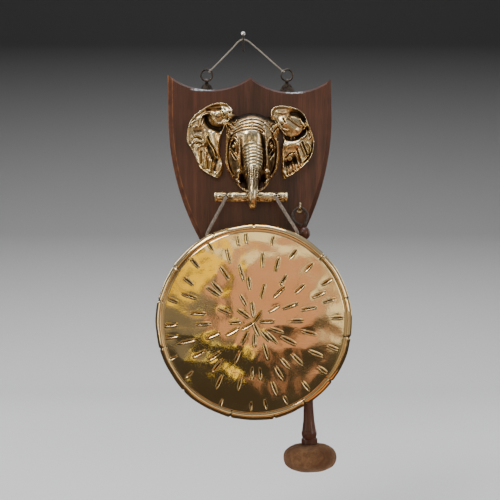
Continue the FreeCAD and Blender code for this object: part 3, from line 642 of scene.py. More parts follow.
# ---------------------------------------------------------------- floor, backdrop and lights
# In metres: the floor's height, how far back the sweep reaches, its bend, its top and its half width.
FLOOR, FAR, BEND, TOP, HALF_WIDTH = -0.66, 2.9, 1.0, 3.2, 4.5


def make_stage():
    """A pale floor that sweeps up into a pale backdrop, well behind the object."""
    profile = [(-HALF_WIDTH, FLOOR), (FAR - BEND, FLOOR)]
    profile += [(FAR - BEND + BEND * math.sin(a), FLOOR + BEND - BEND * math.cos(a))
                for a in np.linspace(0, math.pi / 2, 24)[1:]]
    profile += [(FAR, TOP)]
    points = [(x / MM, y / MM, z / MM) for y, z in profile for x in (-HALF_WIDTH, HALF_WIDTH)]
    faces = [(2 * i, 2 * i + 1, 2 * i + 3, 2 * i + 2) for i in range(len(profile) - 1)]
    sweep = new_piece("studio_sweep", points, faces)
    sweep.visible_glossy = False  # the brass mirrors the panels and the room below, not this bright floor
    paint(sweep, studio_paint())


MIDDLE = (0, -0.05, -0.3)
# Soft boxes in metres: place, what each faces, size, radiance and colour.
LAMPS = {
    "key": ((-1.2, -1.9, 1.6), MIDDLE, (0.95, 0.95), 12.4, (1.0, 0.98, 0.95)),
    "fill": ((1.9, -1.6, 0.35), MIDDLE, (0.55, 1.3), 3.5, (1.0, 0.97, 0.93)),
    "top": ((0.1, -0.4, 1.9), MIDDLE, (1.3, 0.7), 6.0, (1, 1, 1)),
    "warm_floor": ((0.0, -1.7, -1.5), MIDDLE, (1.7, 0.8), 0.62, (1.0, 0.60, 0.34)),
    "side_left": ((-1.9, -1.2, -0.2), MIDDLE, (0.35, 1.4), 2.2, (1.0, 0.96, 0.88)),
    "rear_left": ((-1.7, 1.4, 0.8), MIDDLE, (0.7, 1.3), 4.0, (1, 1, 1)),
    "rear_right": ((1.8, 1.3, 0.2), MIDDLE, (0.7, 1.3), 2.5, (1, 1, 1)),
    "wall_left": ((-2.7, -1.3, -0.1), MIDDLE, (2.2, 1.7), 0.32, (1.0, 0.92, 0.78)),
    "wall_right": ((2.7, -1.0, -0.1), MIDDLE, (2.2, 1.7), 0.34, (1.0, 0.90, 0.75)),
    "backdrop": ((0, 1.5, 2.3), (0, 2.6, -0.6), (3.0, 0.6), 4.6, (1, 1, 1)),
    "ember": ((1.3, -1.0, -1.7), (0, -0.1, -0.4), (0.9, 0.7), 0.9, (1.0, 0.34, 0.10)),
}
# What the gong mirrors: middle and size in X and Z on a plane behind the camera, in metres, radiance and
# colour. The flat face shows all but the two dusk panels, which only views from the side show.
PANEL_PLANE = -3.6
COPPER, CREAM, GOLD = (1.0, 0.53, 0.37), (1.0, 0.92, 0.68), (1.0, 0.70, 0.02)
PANELS = {
    "rose_wide": ((0.155, -0.385), (0.61, 0.57), 0.74, COPPER),
    "rose_low": ((0.20, -0.82), (0.075, 0.26), 0.40, (1.0, 0.48, 0.33)),
    "cream_side": ((0.765, -0.27), (0.52, 0.74), 1.28, CREAM),
    "cream_top": ((0.42, 0.13), (1.24, 0.40), 1.36, CREAM),
    "gold_side": ((-0.44, -0.27), (0.17, 0.29), 1.55, GOLD),
    "gold_top": ((-0.235, -0.14), (0.30, 0.16), 1.55, GOLD),
    "gold_dim": ((-0.28, -0.29), (0.15, 0.13), 0.50, GOLD),
    "mauve": ((-0.26, -0.41), (0.15, 0.10), 0.42, (1.0, 0.75, 0.70)),
    "grey_left": ((-0.46, -0.54), (0.50, 0.26), 0.16, (1.0, 0.95, 0.85)),
    "glint_high": ((-0.26, -0.53), (0.09, 0.08), 2.6, (1.0, 0.84, 0.12)),
    "glint_left": ((-0.30, -0.65), (0.07, 0.12), 2.6, (1.0, 0.88, 0.20)),
    "glint_low": ((-0.11, -0.70), (0.08, 0.11), 2.6, (1.0, 0.80, 0.08)),
    "dusk_left": ((-2.35, -0.55), (2.5, 2.3), 0.36, (1.0, 0.83, 0.56)),
    "dusk_right": ((2.55, -0.55), (2.5, 2.3), 0.42, (1.0, 0.80, 0.52)),
}


def area_light(name, place, target, size, radiance, colour):
    """A soft rectangular light of a given brightness, facing a target."""
    data = bpy.data.lights.new(name, "AREA")
    data.shape = "RECTANGLE"
    data.size, data.size_y = size
    data.energy = radiance * size[0] * size[1] * math.pi
    data.color = colour
    lamp = linked(name, data)
    lamp.location = place
    lamp.rotation_euler = (Vector(target) - Vector(place)).to_track_quat("-Z", "Y").to_euler()


def make_lights():
    for name, lamp in LAMPS.items():
        area_light(name, *lamp)
    for name, ((x, z), size, radiance, colour) in PANELS.items():
        area_light(name, (x, PANEL_PLANE, z), (x, 0, z), size, radiance, colour)


def make_world():
    """A dim room, dark and brown low down, which the camera itself sees as plain grey."""
    world = bpy.data.worlds.new("studio")
    bpy.context.scene.world = world
    world.use_nodes = True
    w = Nodes(world.node_tree)
    way = w.add("ShaderNodeTexCoord").outputs["Generated"]
    height = w.calc("MULTIPLY_ADD", w.add("ShaderNodeSeparateXYZ", Vector=way).outputs["Z"], 0.5, 0.5)
    room = w.tree.nodes["Background"]
    w.set(room, Color=w.ramp(height, (0.10, (0.066, 0.048, 0.036)), (0.55, (0.056, 0.054, 0.050)),
                             (0.95, (0.42, 0.43, 0.46))))
    seen = w.add("ShaderNodeBackground", Color=(0.62, 0.62, 0.63))
    mix = w.add("ShaderNodeMixShader")
    parts = (w.add("ShaderNodeLightPath").outputs["Is Camera Ray"], room.outputs[0], seen.outputs[0])
    for socket, value in zip(mix.inputs, parts):
        w.wire(socket, value)
    w.set(w.tree.nodes["World Output"], Surface=mix.outputs[0])


make_stage()
make_lights()
make_world()


# ---------------------------------------------------------------- the gong
# The radius of the rim, where the flat face ends, how far the flange turns back, how much the face domes,
# how much the flange draws in, and the sheet's thickness.
GONG_RADIUS, FACE_RADIUS, GONG_DEPTH, DOME, DRAW, SHEET = 124.0, 114.5, 38.0, 1.8, 1.4, 1.4
FLANGE_START = 5.7
# The chased marks, ring by ring: each ring's radius and its marks' angles clockwise from the top.
MARKS = {
    9: (34, 162, 238), 16: (86, 309, 355), 23: (140, 178, 211, 269), 30: (56, 110, 131, 246, 334),
    40: (16, 158, 290), 50: (40, 66, 118, 205, 353), 55: (88, 252),
    64: (35, 143, 173, 182, 229, 268, 307, 313, 346), 71: (54, 76, 101, 131, 154, 220, 279, 329),
    79: (8, 22, 193, 240), 88: (67, 117, 163, 210, 254, 292, 339),
    98: (30, 45, 74, 302), 105: (13, 61, 87, 108, 125, 141, 158, 172, 182, 231, 260, 268, 285, 315, 349, 355),
    111: (202, 246, 330),
}
RIM_PINCHES = (0, 46, 76, 99, 127, 148, 168, 194, 226, 254, 283, 305, 335)
# The sheet's unevenness: wavelength, height and how many waves cross.
WAVES = ((95, 0.15, 6), (48, 0.12, 9), (24, 0.05, 12))


def gong_marks():
    """Every mark as its middle, direction, half length, half width and depth, with a hand's unevenness."""
    hand = np.random.default_rng(11)
    found = []
    for ring, angles in MARKS.items():
        usual = 9.4 if ring < 95 else 7.2
        for angle in angles:
            turn = math.radians(angle)
            radius = ring + hand.uniform(-1.0, 1.0)
            lean = turn + math.radians(hand.uniform(-7, 7))
            found.append((radius * math.sin(turn), radius * math.cos(turn), math.sin(lean), math.cos(lean),
                          usual * hand.uniform(0.8, 1.15), hand.uniform(1.0, 1.35), hand.uniform(0.9, 1.25)))
    return found


def gong_relief(x, z):
    """How far the sheet stands back (+Y) at points across its face, in mm, and how deep in a mark it is,
    which sets the painted shade there.
    """
    radius = np.hypot(x, z)
    hand = np.random.default_rng(5)
    back, mark = np.zeros_like(x), np.zeros_like(x)
    for wavelength, height, waves in WAVES:
        for _ in range(waves):
            way, start = hand.uniform(0, FULL_TURN), hand.uniform(0, FULL_TURN)
            pace = FULL_TURN / (wavelength * hand.uniform(0.75, 1.3))
            back += height / math.sqrt(waves) * np.sin(pace * (x * math.cos(way) + z * math.sin(way)) + start)
    back *= clamped((FACE_RADIUS + 2 - radius) / 14)
    for cx, cz, ux, uz, half, wide, deep in gong_marks():
        along = (x - cx) * ux + (z - cz) * uz
        across = (x - cx) * uz - (z - cz) * ux
        near = np.abs(along) < half * 1.6
        taper = clamped(1 - (along / half) ** 2) ** 0.6
        width = wide * (0.35 + 0.65 * taper)
        trough = deep * taper * bell(across, width) ** 1.9
        lip = 0.34 * deep * taper**0.5 * bell(np.abs(across) - width * 1.35, 0.55 * wide)
        dent = 0.13 * deep * bell(across, 5.5) * bell(along, half * 1.1)
        back += np.where(near, trough - lip, 0) + dent
        mark = np.maximum(mark, taper**0.4 * bell(across, 0.62 * width) * near)
    return back, mark


def rim_shape(angle, depth):
    """How far the rim is drawn in at each pinch and by its own unevenness, in mm."""
    inward, hand = np.zeros_like(angle), np.random.default_rng(3)
    for pinched_at in RIM_PINCHES:
        across = angle_from(math.radians(pinched_at), angle) * GONG_RADIUS
        across = across + hand.uniform(-0.4, 0.4) * (depth - 8) * 0.3
        bite = hand.uniform(1.2, 2.1)
        reach = bell(depth - 5.0, 6.0)
        inward += bite * reach * bell(across, 1.1)
        swollen = bell(across - 3.4, 2.2) + 0.6 * bell(across + 3.8, 2.4)
        inward -= 0.18 * reach * swollen
    for count, height in ((7, 0.35), (13, 0.22), (29, 0.10)):
        inward += height * np.sin(angle * count + hand.uniform(0, 6))
    return inward


def domed(radius):
    return -DOME * (1 - (radius / FACE_RADIUS) ** 2)


def flange_radius(depth):
    return GONG_RADIUS - DRAW * (depth - FLANGE_START) / (GONG_DEPTH - FLANGE_START)


def front_stations():
    """From the middle of the face out and down the flange: radius, depth, and whether on the face."""
    radii = [*np.arange(1.2, FACE_RADIUS - 3, 1.15), *np.arange(FACE_RADIUS - 3, FACE_RADIUS, 0.6)]
    stations = [(radius, domed(radius), True) for radius in radii]
    stations += [(FACE_RADIUS, 0.5, True), (FACE_RADIUS + 0.6, 0.6, True), (FACE_RADIUS + 1.3, 0.1, False)]
    stations += [(117.0 + 7.0 * math.sin(angle), -0.7 + 6.4 * (1 - math.cos(angle)), False)
                 for angle in np.linspace(0.15, 1.0, 12) * math.pi / 2]
    flange = np.arange(7.5, GONG_DEPTH + 0.1, 1.9)
    return stations + [(flange_radius(depth), depth, False) for depth in flange]


def back_stations():
    """From the lip forward inside the flange and across behind the face: radius and depth."""
    stations = [(GONG_RADIUS - DRAW - SHEET / 2, GONG_DEPTH + 0.5), (GONG_RADIUS - DRAW - SHEET, GONG_DEPTH)]
    stations += [(flange_radius(depth) - SHEET, depth) for depth in np.arange(GONG_DEPTH - 2, 8, -3.0)]
    stations += [(121.6, 6.0), (119.5, 2.6), (116.0, 1.0 + SHEET)]
    return stations + [(radius, SHEET + domed(radius)) for radius in np.arange(112, 1, -2.2)]


def ring_at(radius, depth, count):
    """A ring's X and Z, pinched in where it is on the rim, and how far each point is pinched."""
    angle = np.arange(count) * FULL_TURN / count
    x, z = radius * np.sin(angle), radius * np.cos(angle)
    if radius <= FACE_RADIUS - 1:
        return x, z, np.zeros(count)
    pinch = rim_shape(angle, depth)
    keep = (radius - pinch * clamped((radius - FACE_RADIUS) / 6)) / radius
    return x * keep, z * keep, pinch


def front_ring(radius, depth, on_face):
    """The points of one ring of the front sheet, and how much painted shade each takes."""
    count = 120 if radius < 14 else 240 if radius < 34 else 480 if radius < 66 else 960
    angle = np.arange(count) * FULL_TURN / count
    relief, mark = gong_relief(radius * np.sin(angle), radius * np.cos(angle))
    x, z, pinch = ring_at(radius, depth, count)
    y = depth + relief * on_face + 0.2 * np.clip(pinch, 0, 3) * (depth < 5)
    # painted shade along the crease at the face's edge and in the rim's pinches
    crease = 0.42 * bell(radius - FACE_RADIUS, 0.8) + 1.2 * np.clip(pinch - 0.55, 0, 0.8)
    return np.stack([x, y, z], axis=1), np.maximum(mark * on_face, crease)


def back_ring(radius, depth):
    """The points of one ring of the back sheet, which follows the face's relief."""
    count = 960 if radius > 110 else 240 if radius > 40 else 120
    x, z, _ = ring_at(radius, depth, count)
    y = np.full(count, float(depth))
    if radius <= 110:
        y = y + gong_relief(x, z)[0]
    return np.stack([x, y, z], axis=1)


def outwards(last, row):
    """Faces from one ring to the next out, which has as many points or twice as many."""
    count = len(row)
    if len(last) == count:
        return [[last[i], last[(i + 1) % count], row[(i + 1) % count], row[i]] for i in range(count)]
    faces = []
    for i, start in enumerate(last):
        end, middle = last[(i + 1) % len(last)], row[2 * i + 1]
        faces += [[start, middle, row[2 * i]], [start, end, middle], [end, row[(2 * i + 2) % count], middle]]
    return faces


def inwards(last, row):
    """Triangles from one ring to the next in, which has as many points or a half or quarter as many."""
    ratio, faces = len(last) // len(row), []
    for i, here in enumerate(row):
        outer = [last[(ratio * i + k) % len(last)] for k in range(ratio + 1)]
        faces += [[outer[k], outer[k + 1], here] for k in range(ratio)]
        faces.append([outer[-1], row[(i + 1) % len(row)], here])
    return faces


def numbered(rings, first):
    """The point numbers of each ring, counted on from the first."""
    starts = first + np.cumsum([0] + [len(ring) for ring in rings])
    return [list(range(start, end)) for start, end in zip(starts, starts[1:])]


def make_gong():
    """The hammered disc: a finely worked front sheet, and a plainer sheet behind it joined at the lip."""
    front, dark = zip(*(front_ring(*station) for station in front_stations()))
    back = [back_ring(*station) for station in back_stations()]
    rows = numbered(front, 0)
    hub = rows[-1][-1] + 1
    back_rows = numbered(back, hub + 1)
    back_hub = back_rows[-1][-1] + 1
    faces = [[b, a, hub] for a, b in zip(rows[0], rows[0][1:] + rows[0][:1])]
    for last, row in zip(rows, rows[1:]):
        faces += outwards(last, row)
    front_faces = len(faces)
    for last, row in zip([rows[-1]] + back_rows, back_rows):
        faces += inwards(last, row)
    faces += [[a, b, back_hub] for a, b in zip(back_rows[-1], back_rows[-1][1:] + back_rows[-1][:1])]
    hub_depth = gong_relief(np.zeros(1), np.zeros(1))[0][0] - DOME
    points = np.vstack([*front, [(0, hub_depth, 0)], *back, [(0, SHEET - DOME, 0)]])
    piece = new_piece("gong_sheet", points + GONG_CENTRE, faces)
    stand_in(piece, "gong", "gong_disc", "gong_brass", gong_brass(), brass_back())
    piece.data.polygons.foreach_set("material_index", [0] * front_faces + [1] * (len(faces) - front_faces))
    shade = np.zeros(len(piece.data.vertices))
    shade[:hub] = np.concatenate(dark)
    # the painted shade of the marks and the crease, read by the material
    set_value(piece, "mark", shade)


make_gong()


# ---------------------------------------------------------------- what keeps its CAD shape
# The first name found in a node's own name decides its material.
PLAIN = {
    "wall_nail": metal("nail_steel", (0.78, 0.78, 0.77), (0.42, 0.40, 0.38), 0.18),
    "hanger_ring": metal("ring_bronze", (0.13, 0.10, 0.075), (0.040, 0.034, 0.030), 0.34),
    "hanger_plate": metal("plate_steel", (0.13, 0.11, 0.095), (0.045, 0.036, 0.03), 0.42),
    "screws": metal("screw_steel", (0.52, 0.50, 0.46), (0.24, 0.21, 0.17), 0.3),
    "beater_hook": metal("hook_brass", (0.80, 0.68, 0.48), (0.20, 0.14, 0.08), 0.24),
    "beater_handle": mahogany("handle_wood", 1.15, 1.6, 0.26),
    "shield_board": WOOD,
}
for node_name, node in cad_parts.items():
    for part, material in PLAIN.items():
        if part in node_name:
            paint(node, material)
            break


# ---------------------------------------------------------------- modelling clay
def smooth_line(points, dense=6, closed=False):
    """Points along a Catmull-Rom curve through the given ones."""
    points = np.array(points, float)
    if len(points) == 2:
        return np.linspace(points[0], points[1], 3)
    ends = (points[-1:], points[:2])
    if not closed:
        ends = (2 * points[:1] - points[1:2], 2 * points[-1:] - points[-2:-1])
    padded = np.concatenate([ends[0], points, ends[1]])
    found = []
    for a, b, c, d in zip(padded, padded[1:], padded[2:], padded[3:]):
        for t in np.arange(dense) / dense:
            found.append(0.5 * (2 * b + (c - a) * t + (2 * a - 5 * b + 4 * c - d) * t**2
                                + (3 * b - a - 3 * c + d) * t**3))
    if not closed:
        found.append(points[-1])
    return np.array(found)


def gap_to(x, z, line, closed=False):
    """How far each point of a grid lies from a line in the X-Z plane."""
    gap = np.full(np.broadcast(x, z).shape, 1e3)
    ends = np.roll(line, -1, 0) if closed else line[1:]
    for start, end in zip(line, ends):
        run = end - start
        share = ((x - start[0]) * run[0] + (z - start[1]) * run[1]) / max(run.dot(run), 1e-9)
        share = clamped(share)
        gap = np.minimum(gap, np.hypot(x - start[0] - share * run[0], z - start[1] - share * run[1]))
    return gap


def inside(x, z, line):
    """Where points of a grid lie inside a closed line."""
    odd = np.zeros(np.broadcast(x, z).shape, bool)
    for (x0, z0), (x1, z1) in zip(line, np.roll(line, -1, 0)):
        if z0 != z1:
            odd ^= ((z0 > z) != (z1 > z)) & (x < (x1 - x0) * (z - z0) / (z1 - z0) + x0)
    return odd


def strokes(x, z, drawn):
    """The height of ridges (above 0) and grooves (below 0), each drawn as half width, height and points."""
    height = np.zeros(np.broadcast(x, z).shape)
    for width, rise, *points in drawn:
        line = smooth_line(points, 5) if len(points) > 1 else np.array(points * 2, float)
        height += rise * bell(gap_to(x, z, line), width)
    return height


class Clay:
    """Space on a grid, holding each point's distance in mm from a surface; below zero is metal."""

    def __init__(self, low, high, step):
        self.step = step
        self.axes = [np.arange(a, b + step, step) for a, b in zip(low, high)]
        self.field = np.full([len(axis) for axis in self.axes], 12.0)

    def part(self, low, high):
        """The slices of the grid inside a box, and the coordinates there."""
        cut = tuple(slice(int(np.searchsorted(axis, a)), int(np.searchsorted(axis, b)))
                    for axis, a, b in zip(self.axes, low, high))
        return cut, np.meshgrid(*[axis[c] for axis, c in zip(self.axes, cut)], indexing="ij", sparse=True)

    def front(self):
        """The grid's coordinates in X and Z."""
        return np.meshgrid(self.axes[0], self.axes[2], indexing="ij", sparse=True)

    def join(self, cut, distance, soft):
        """Adds a shape, blended in over soft mm."""
        self.field[cut] = melded(self.field[cut], distance, soft)

    def ball(self, centre, half, soft):
        """An ellipsoid; half holds its half sizes."""
        half = np.array(half, float)
        cut, (x, y, z) = self.part(np.array(centre) - half - soft * 2, np.array(centre) + half + soft * 2)
        x, y, z = x - centre[0], y - centre[1], z - centre[2]
        size = np.sqrt((x / half[0]) ** 2 + (y / half[1]) ** 2 + (z / half[2]) ** 2)
        slope = np.sqrt((x / half[0] ** 2) ** 2 + (y / half[1] ** 2) ** 2 + (z / half[2] ** 2) ** 2)
        self.join(cut, size * (size - 1) / np.maximum(slope, 1e-6), soft)

    def tube(self, stations, soft):
        """A round tube through stations of x, y, z and radius."""
        line = smooth_line(stations)
        low = line[:, :3].min(0) - line[:, 3].max() - soft * 2
        high = line[:, :3].max(0) + line[:, 3].max() + soft * 2
        cut, (x, y, z) = self.part(low, high)
        nearest = np.full(np.broadcast(x, y, z).shape, 1e3)
        for start, end in zip(line[:-1], line[1:]):
            run = end[:3] - start[:3]
            share = (x - start[0]) * run[0] + (y - start[1]) * run[1] + (z - start[2]) * run[2]
            share = clamped(share / run.dot(run))
            gap = np.sqrt((x - start[0] - share * run[0]) ** 2 + (y - start[1] - share * run[1]) ** 2
                          + (z - start[2] - share * run[2]) ** 2)
            nearest = np.minimum(nearest, gap - start[3] - share * (end[3] - start[3]))
        self.join(cut, nearest, soft)

    def emboss(self, height):
        """Raises the surface by a height in mm that depends on x and z only."""
        self.field -= height[:, None, :]

    def surface(self, name):
        """A mesh of the zero surface, laid out from the plaque's datum: one point in each cell it crosses."""
        field, cells = self.field, tuple(n - 1 for n in self.field.shape)
        room = int(np.prod(cells))
        total, count, quads = np.zeros((room, 3)), np.zeros(room), []
        for axis in range(3):
            before = tuple(slice(None, -1) if k == axis else slice(None) for k in range(3))
            after = tuple(slice(1, None) if k == axis else slice(None) for k in range(3))
            low, high = field[before], field[after]
            crossing = (low < 0) != (high < 0)
            place = np.argwhere(crossing)
            low, high = low[crossing], high[crossing]
            point = place.astype(float)
            point[:, axis] += low / (low - high)
            one, two = (k for k in range(3) if k != axis)
            inner = ((place[:, one] > 0) & (place[:, two] > 0) & (place[:, one] < cells[one])
                     & (place[:, two] < cells[two]))
            place, point, low = place[inner], point[inner], low[inner]
            ring = []
            for back_one, back_two in ((0, 0), (1, 0), (1, 1), (0, 1)):
                cell = place.copy()
                cell[:, one] -= back_one
                cell[:, two] -= back_two
                number = np.ravel_multi_index(cell.T, cells)
                ring.append(number)
                count += np.bincount(number, minlength=room)
                for k in range(3):
                    total[:, k] += np.bincount(number, point[:, k], room)
            ring = np.stack(ring, axis=1)
            turned = (low > 0) != (axis == 1)
            ring[turned] = ring[turned][:, ::-1]
            quads.append(ring)
        used = np.flatnonzero(count)
        number_of = np.full(room, -1)
        number_of[used] = np.arange(len(used))
        points = total[used] / count[used, None] * self.step + np.array([axis[0] for axis in self.axes])
        piece = quad_piece(name, points + DATUM, number_of[np.concatenate(quads)])
        set_corners(piece, smoothed(corners(piece), edge_pairs(piece), 1))
        mark_hollows(piece)
        return piece


# ---------------------------------------------------------------- the elephant's head
# The head's middle in X, and over how many mm the tusks' ends and the eyes are blended in.
HEAD_X, SET_IN = 2.8, 0.3
# The skull, jaw and temples: middle, half sizes, and over how many mm each is blended in.
SKULL = [
    ((HEAD_X, -36, -80.4), (34.2, 34.4, 34.4), 3), ((HEAD_X, -31, -105.1), (35.4, 33.6, 38.2), 9),
    ((HEAD_X, -34, -128.2), (19.5, 15, 15.6), 7), ((-21.5, -28, -66), (9.5, 9, 10), 6),
    ((28.5, -28, -68), (10, 9, 10.5), 6),
]
# The lips' folds, and the ridges that run out to the ears: blend, then stations of x, y, z and radius.
LIPS_AND_EAR_ROOTS = [
    (1.2, (-19.5, -36, -128, 3.2), (-14.5, -48, -135, 2.7), (-8, -56, -140.5, 2.2)),
    (1.2, (26, -36, -128, 3.2), (21, -48, -135, 2.7), (15, -56, -140.5, 2.2)),
    (1.0, (-15, -36, -138, 2.6), (-10, -46, -144, 2.2), (-4, -51, -148, 1.8)),
    (1.0, (22, -36, -138, 2.6), (17, -46, -144, 2.2), (11, -51, -148, 1.8)),
    (2.4, (-12, -42, -55, 3.4), (-18, -34, -52, 3.3), (-24, -28, -49, 3.0), (-28, -26, -47, 2.4)),
    (2.4, (-17, -46, -64, 3.2), (-24, -36, -61, 3.4), (-30, -28, -59, 3.0), (-34, -26, -58, 2.2)),
    (2.4, (19, -42, -56, 3.2), (25, -34, -53, 3.2), (30, -28, -51, 2.8), (34, -26, -50, 2.2)),
    (2.4, (24, -46, -65, 3.2), (30, -36, -63, 3.4), (35, -28, -61, 2.8), (38, -26, -61, 2.2)),
]
# The tusk sheaths, the flesh between them and the trunk, and the trunk itself, curled under the bar.
SHEATHS_AND_TRUNK = [
    (2.0, (-13.6, -57.5, -96, 1.6), (-13.6, -60.5, -108, 2.1), (-13.8, -60.5, -118, 2.6)),
    (2.0, (21.4, -57.5, -96, 1.6), (21.6, -60.0, -108, 2.1), (21.2, -60.0, -118, 2.6)),
    (4.0, (-11.4, -60, -90, 3.2), (-11.2, -62.5, -104, 3.4), (-10, -61, -117, 2.8)),
    (4.0, (18.0, -59, -88, 3.2), (18.4, -62, -102, 3.4), (17, -60.5, -117, 2.8)),
    (3.6, (4.2, -43, -74, 12.6), (4.3, -51.5, -85, 13.3), (4.4, -60, -97, 13.7), (4.4, -67, -109, 12.8),
     (4.2, -73, -120, 10.8), (3.9, -79, -132, 8.4), (3.6, -84.5, -143, 6.9), (3.4, -88.2, -152, 6.0),
     (3.2, -89, -160, 5.5), (3.2, -84.5, -166.1, 5.2), (3.2, -76.5, -168, 4.6), (3.2, -72, -165.5, 4)),
]
# The tusks' cut ends and the eyeballs: middle and half sizes.
TUSKS_AND_EYES = [
    ((-14.1, -65.6, -123.4), (3.8, 4.4, 3.9)), ((21.2, -65.6, -123.4), (3.8, 4.4, 3.9)),
    ((-20.9, -55.0, -90.4), (2.8, 4.0, 3.1)), ((27.3, -53.6, -90.6), (2.8, 4.0, 3.1)),
]
# Half width, height and points of each ridge and groove, seen from the front in the plaque's datum.
BROW = [
    (0.75, -1.7, (-13, -60.5), (-6.6, -57.6), (3.4, -56.4), (11.5, -57.6), (18, -60.5)),
    (0.75, -1.9, (-17.5, -66.5), (-9, -62.8), (2.5, -61.2), (10, -62.2), (17, -65.6)),
    (0.75, -1.9, (-21.5, -72), (-13, -67.8), (-3, -65.9), (6.5, -66), (13.5, -68.4), (19, -72)),
    (0.75, -1.9, (-25, -77.5), (-15, -72), (-6, -70.2), (3.4, -69.8), (11.5, -71.2), (16, -73.5)),
    (0.7, -1.4, (22, -58), (27, -64), (31.5, -72), (33.5, -80)),
    (0.7, -1.4, (19, -62.5), (24, -67.5), (28, -73), (30, -80)),
    (0.7, -1.2, (-15.5, -57), (-22, -63), (-27, -71)), (0.9, -2, (-23, -72), (-26, -66), (-30, -61)),
    (0.9, -2, (-19, -66), (-23, -60), (-27, -57)), (0.9, -2, (29, -75), (32.5, -68), (37, -63)),
    (0.9, -2, (25, -68), (29, -62), (33, -58.5)), (0.9, 1, (2.6, -55), (2.9, -62), (2.8, -69)),
]
MUZZLE = [
    (4.6, 0.7, (-4.5, -76.5), (-4.9, -83)), (4.4, 0.7, (7.5, -76.5), (8, -84)),
    (0.8, -0.5, (1.3, -76), (1.6, -83)), (1.4, -0.8, (-10.8, -79), (-11.4, -90)),
    (0.9, -0.7, (-11.2, -97), (-10.6, -108), (-9, -120)), (1.6, -1, (13, -71), (14, -75)),
    (1.9, -1.7, (14.6, -75), (16.2, -84), (17.4, -92)), (1, -0.9, (18, -94), (17.8, -108), (16.4, -120)),
    (1.2, 2.6, (-18, -76.5), (-14.2, -83), (-13.4, -93), (-13.2, -105), (-12.9, -117)),
    (1.2, 2.8, (19.3, -76.5), (20.7, -86), (21.2, -97), (21.8, -108), (21.4, -117)),
    (3.8, -6.5, (-9.8, -127.5), (-8.6, -137)), (3.8, -6.5, (16.4, -127.5), (14.8, -137)),
]
LEFT_EYE = [
    (4.4, -3.4, (-21.4, -87.5), (-18.4, -98)),
    (1, 2, (-26, -94), (-25, -86.5), (-21, -80.2), (-16.6, -84.2), (-15, -90)),
    (0.9, -2.4, (-24.8, -91), (-23.2, -86.2), (-20.6, -83.4), (-17.6, -86.8), (-16.6, -92.5),
     (-16.4, -101.5)), (0.85, 2, (-24.2, -94.2), (-20.8, -99.4), (-17.8, -104.6)),
    (0.85, -2.2, (-23.6, -96.8), (-20.6, -101.4), (-18.2, -105.6)),
    (0.8, 1.4, (-24.8, -98.4), (-21.6, -104), (-18.8, -108.4)),
]
RIGHT_EYE = [
    (4.6, -3.4, (27, -85), (25.8, -98)),
    (1, 1.8, (32.4, -93), (31.6, -86), (27.8, -79.7), (23.6, -83.7), (22.6, -90)),
    (0.9, -2.4, (30.8, -90), (29.8, -85.6), (27.4, -82.6), (24.5, -86.8), (24, -93.5), (24.2, -103)),
    (0.9, 2.4, (29.8, -94.2), (26.8, -98.4), (24.4, -102)),
    (0.85, -1.9, (31.4, -96.8), (28, -102), (25.2, -106.5)),
]
CHEEKS = [
    (1.3, 1.8, (-24.5, -74), (-29, -81), (-30.3, -92), (-30.4, -107), (-27.2, -120), (-23, -129)),
    (1, -1.5, (-24, -78.5), (-27, -85), (-28, -95), (-28, -108), (-25, -119), (-21, -126)),
    (1.3, 1.8, (30, -72), (34.5, -82), (36, -95), (35.2, -110), (32.6, -121), (28.5, -130)),
    (1, -1.5, (29.5, -78), (32.4, -86), (33.4, -97), (32.7, -110), (30, -120), (26, -127)),
    (5, -1.6, (-21.5, -110), (-20.5, -118)), (5, -1.6, (27.5, -108), (27, -118)),
]
# Painted shade in the face's grooves and eye sockets, on the crown and under the trunk: half width, amount
# and points.
FACE_SHADE = [
    (5, 0.24, (-9.5, -132), (-6, -141)), (5, 0.24, (16.5, -132), (13, -141)),
    (6, 0.2, (-5, -149), (11, -149)), (2.2, 0.12, (-10.4, -92), (-9.4, -120)),
    (3.2, 0.2, (15, -77), (17.4, -96), (16.8, -120)), (4.5, 0.12, (-23, -106), (-20, -119)),
    (6, 0.17, (29.5, -96), (27.5, -121)), (6, 0.4, (-19, -52), (3, -46), (23, -52)),
    (2.4, 0.1, (-21, -87), (-18.6, -98)), (2.8, 0.14, (27.2, -85), (26.2, -99)),
    (4, 0.1, (-26, -62), (-20, -56)), (4, 0.12, (28, -58), (33, -66)),
]
# The creases' spacing along the trunk, and that of the fine lines between them.
RING_PITCH, LINE_PITCH = 4.55, 1.52


def trunk_rings(clay):
    """Creases round the upper trunk, lying across its slope, and fainter ones down the rest."""
    cut, (x, y, z) = clay.part((-11, -110, -150), (19.5, -40, -86))
    along = -0.49 * y - 0.87 * z
    share = clamped((along - 106) / 9) * clamped((144 - along) / 6)
    side = clamped((13.6 - np.abs(x - 4.3)) / 2.5)
    ring = np.abs(np.cos(np.pi * (along - 1.2) / RING_PITCH)) ** 0.55 - 0.62
    fine = np.abs(np.cos(np.pi * along / LINE_PITCH)) * 0.12
    lower = 0.16 * np.sin(along * 2.1 + np.sin(x * 1.4)) + 0.2 * np.sin(x * 2.3)
    lower = lower * clamped((along - 142) / 5) * clamped((168 - along) / 10)
    clay.field[cut] -= (1.6 * ring + fine) * share * side + lower


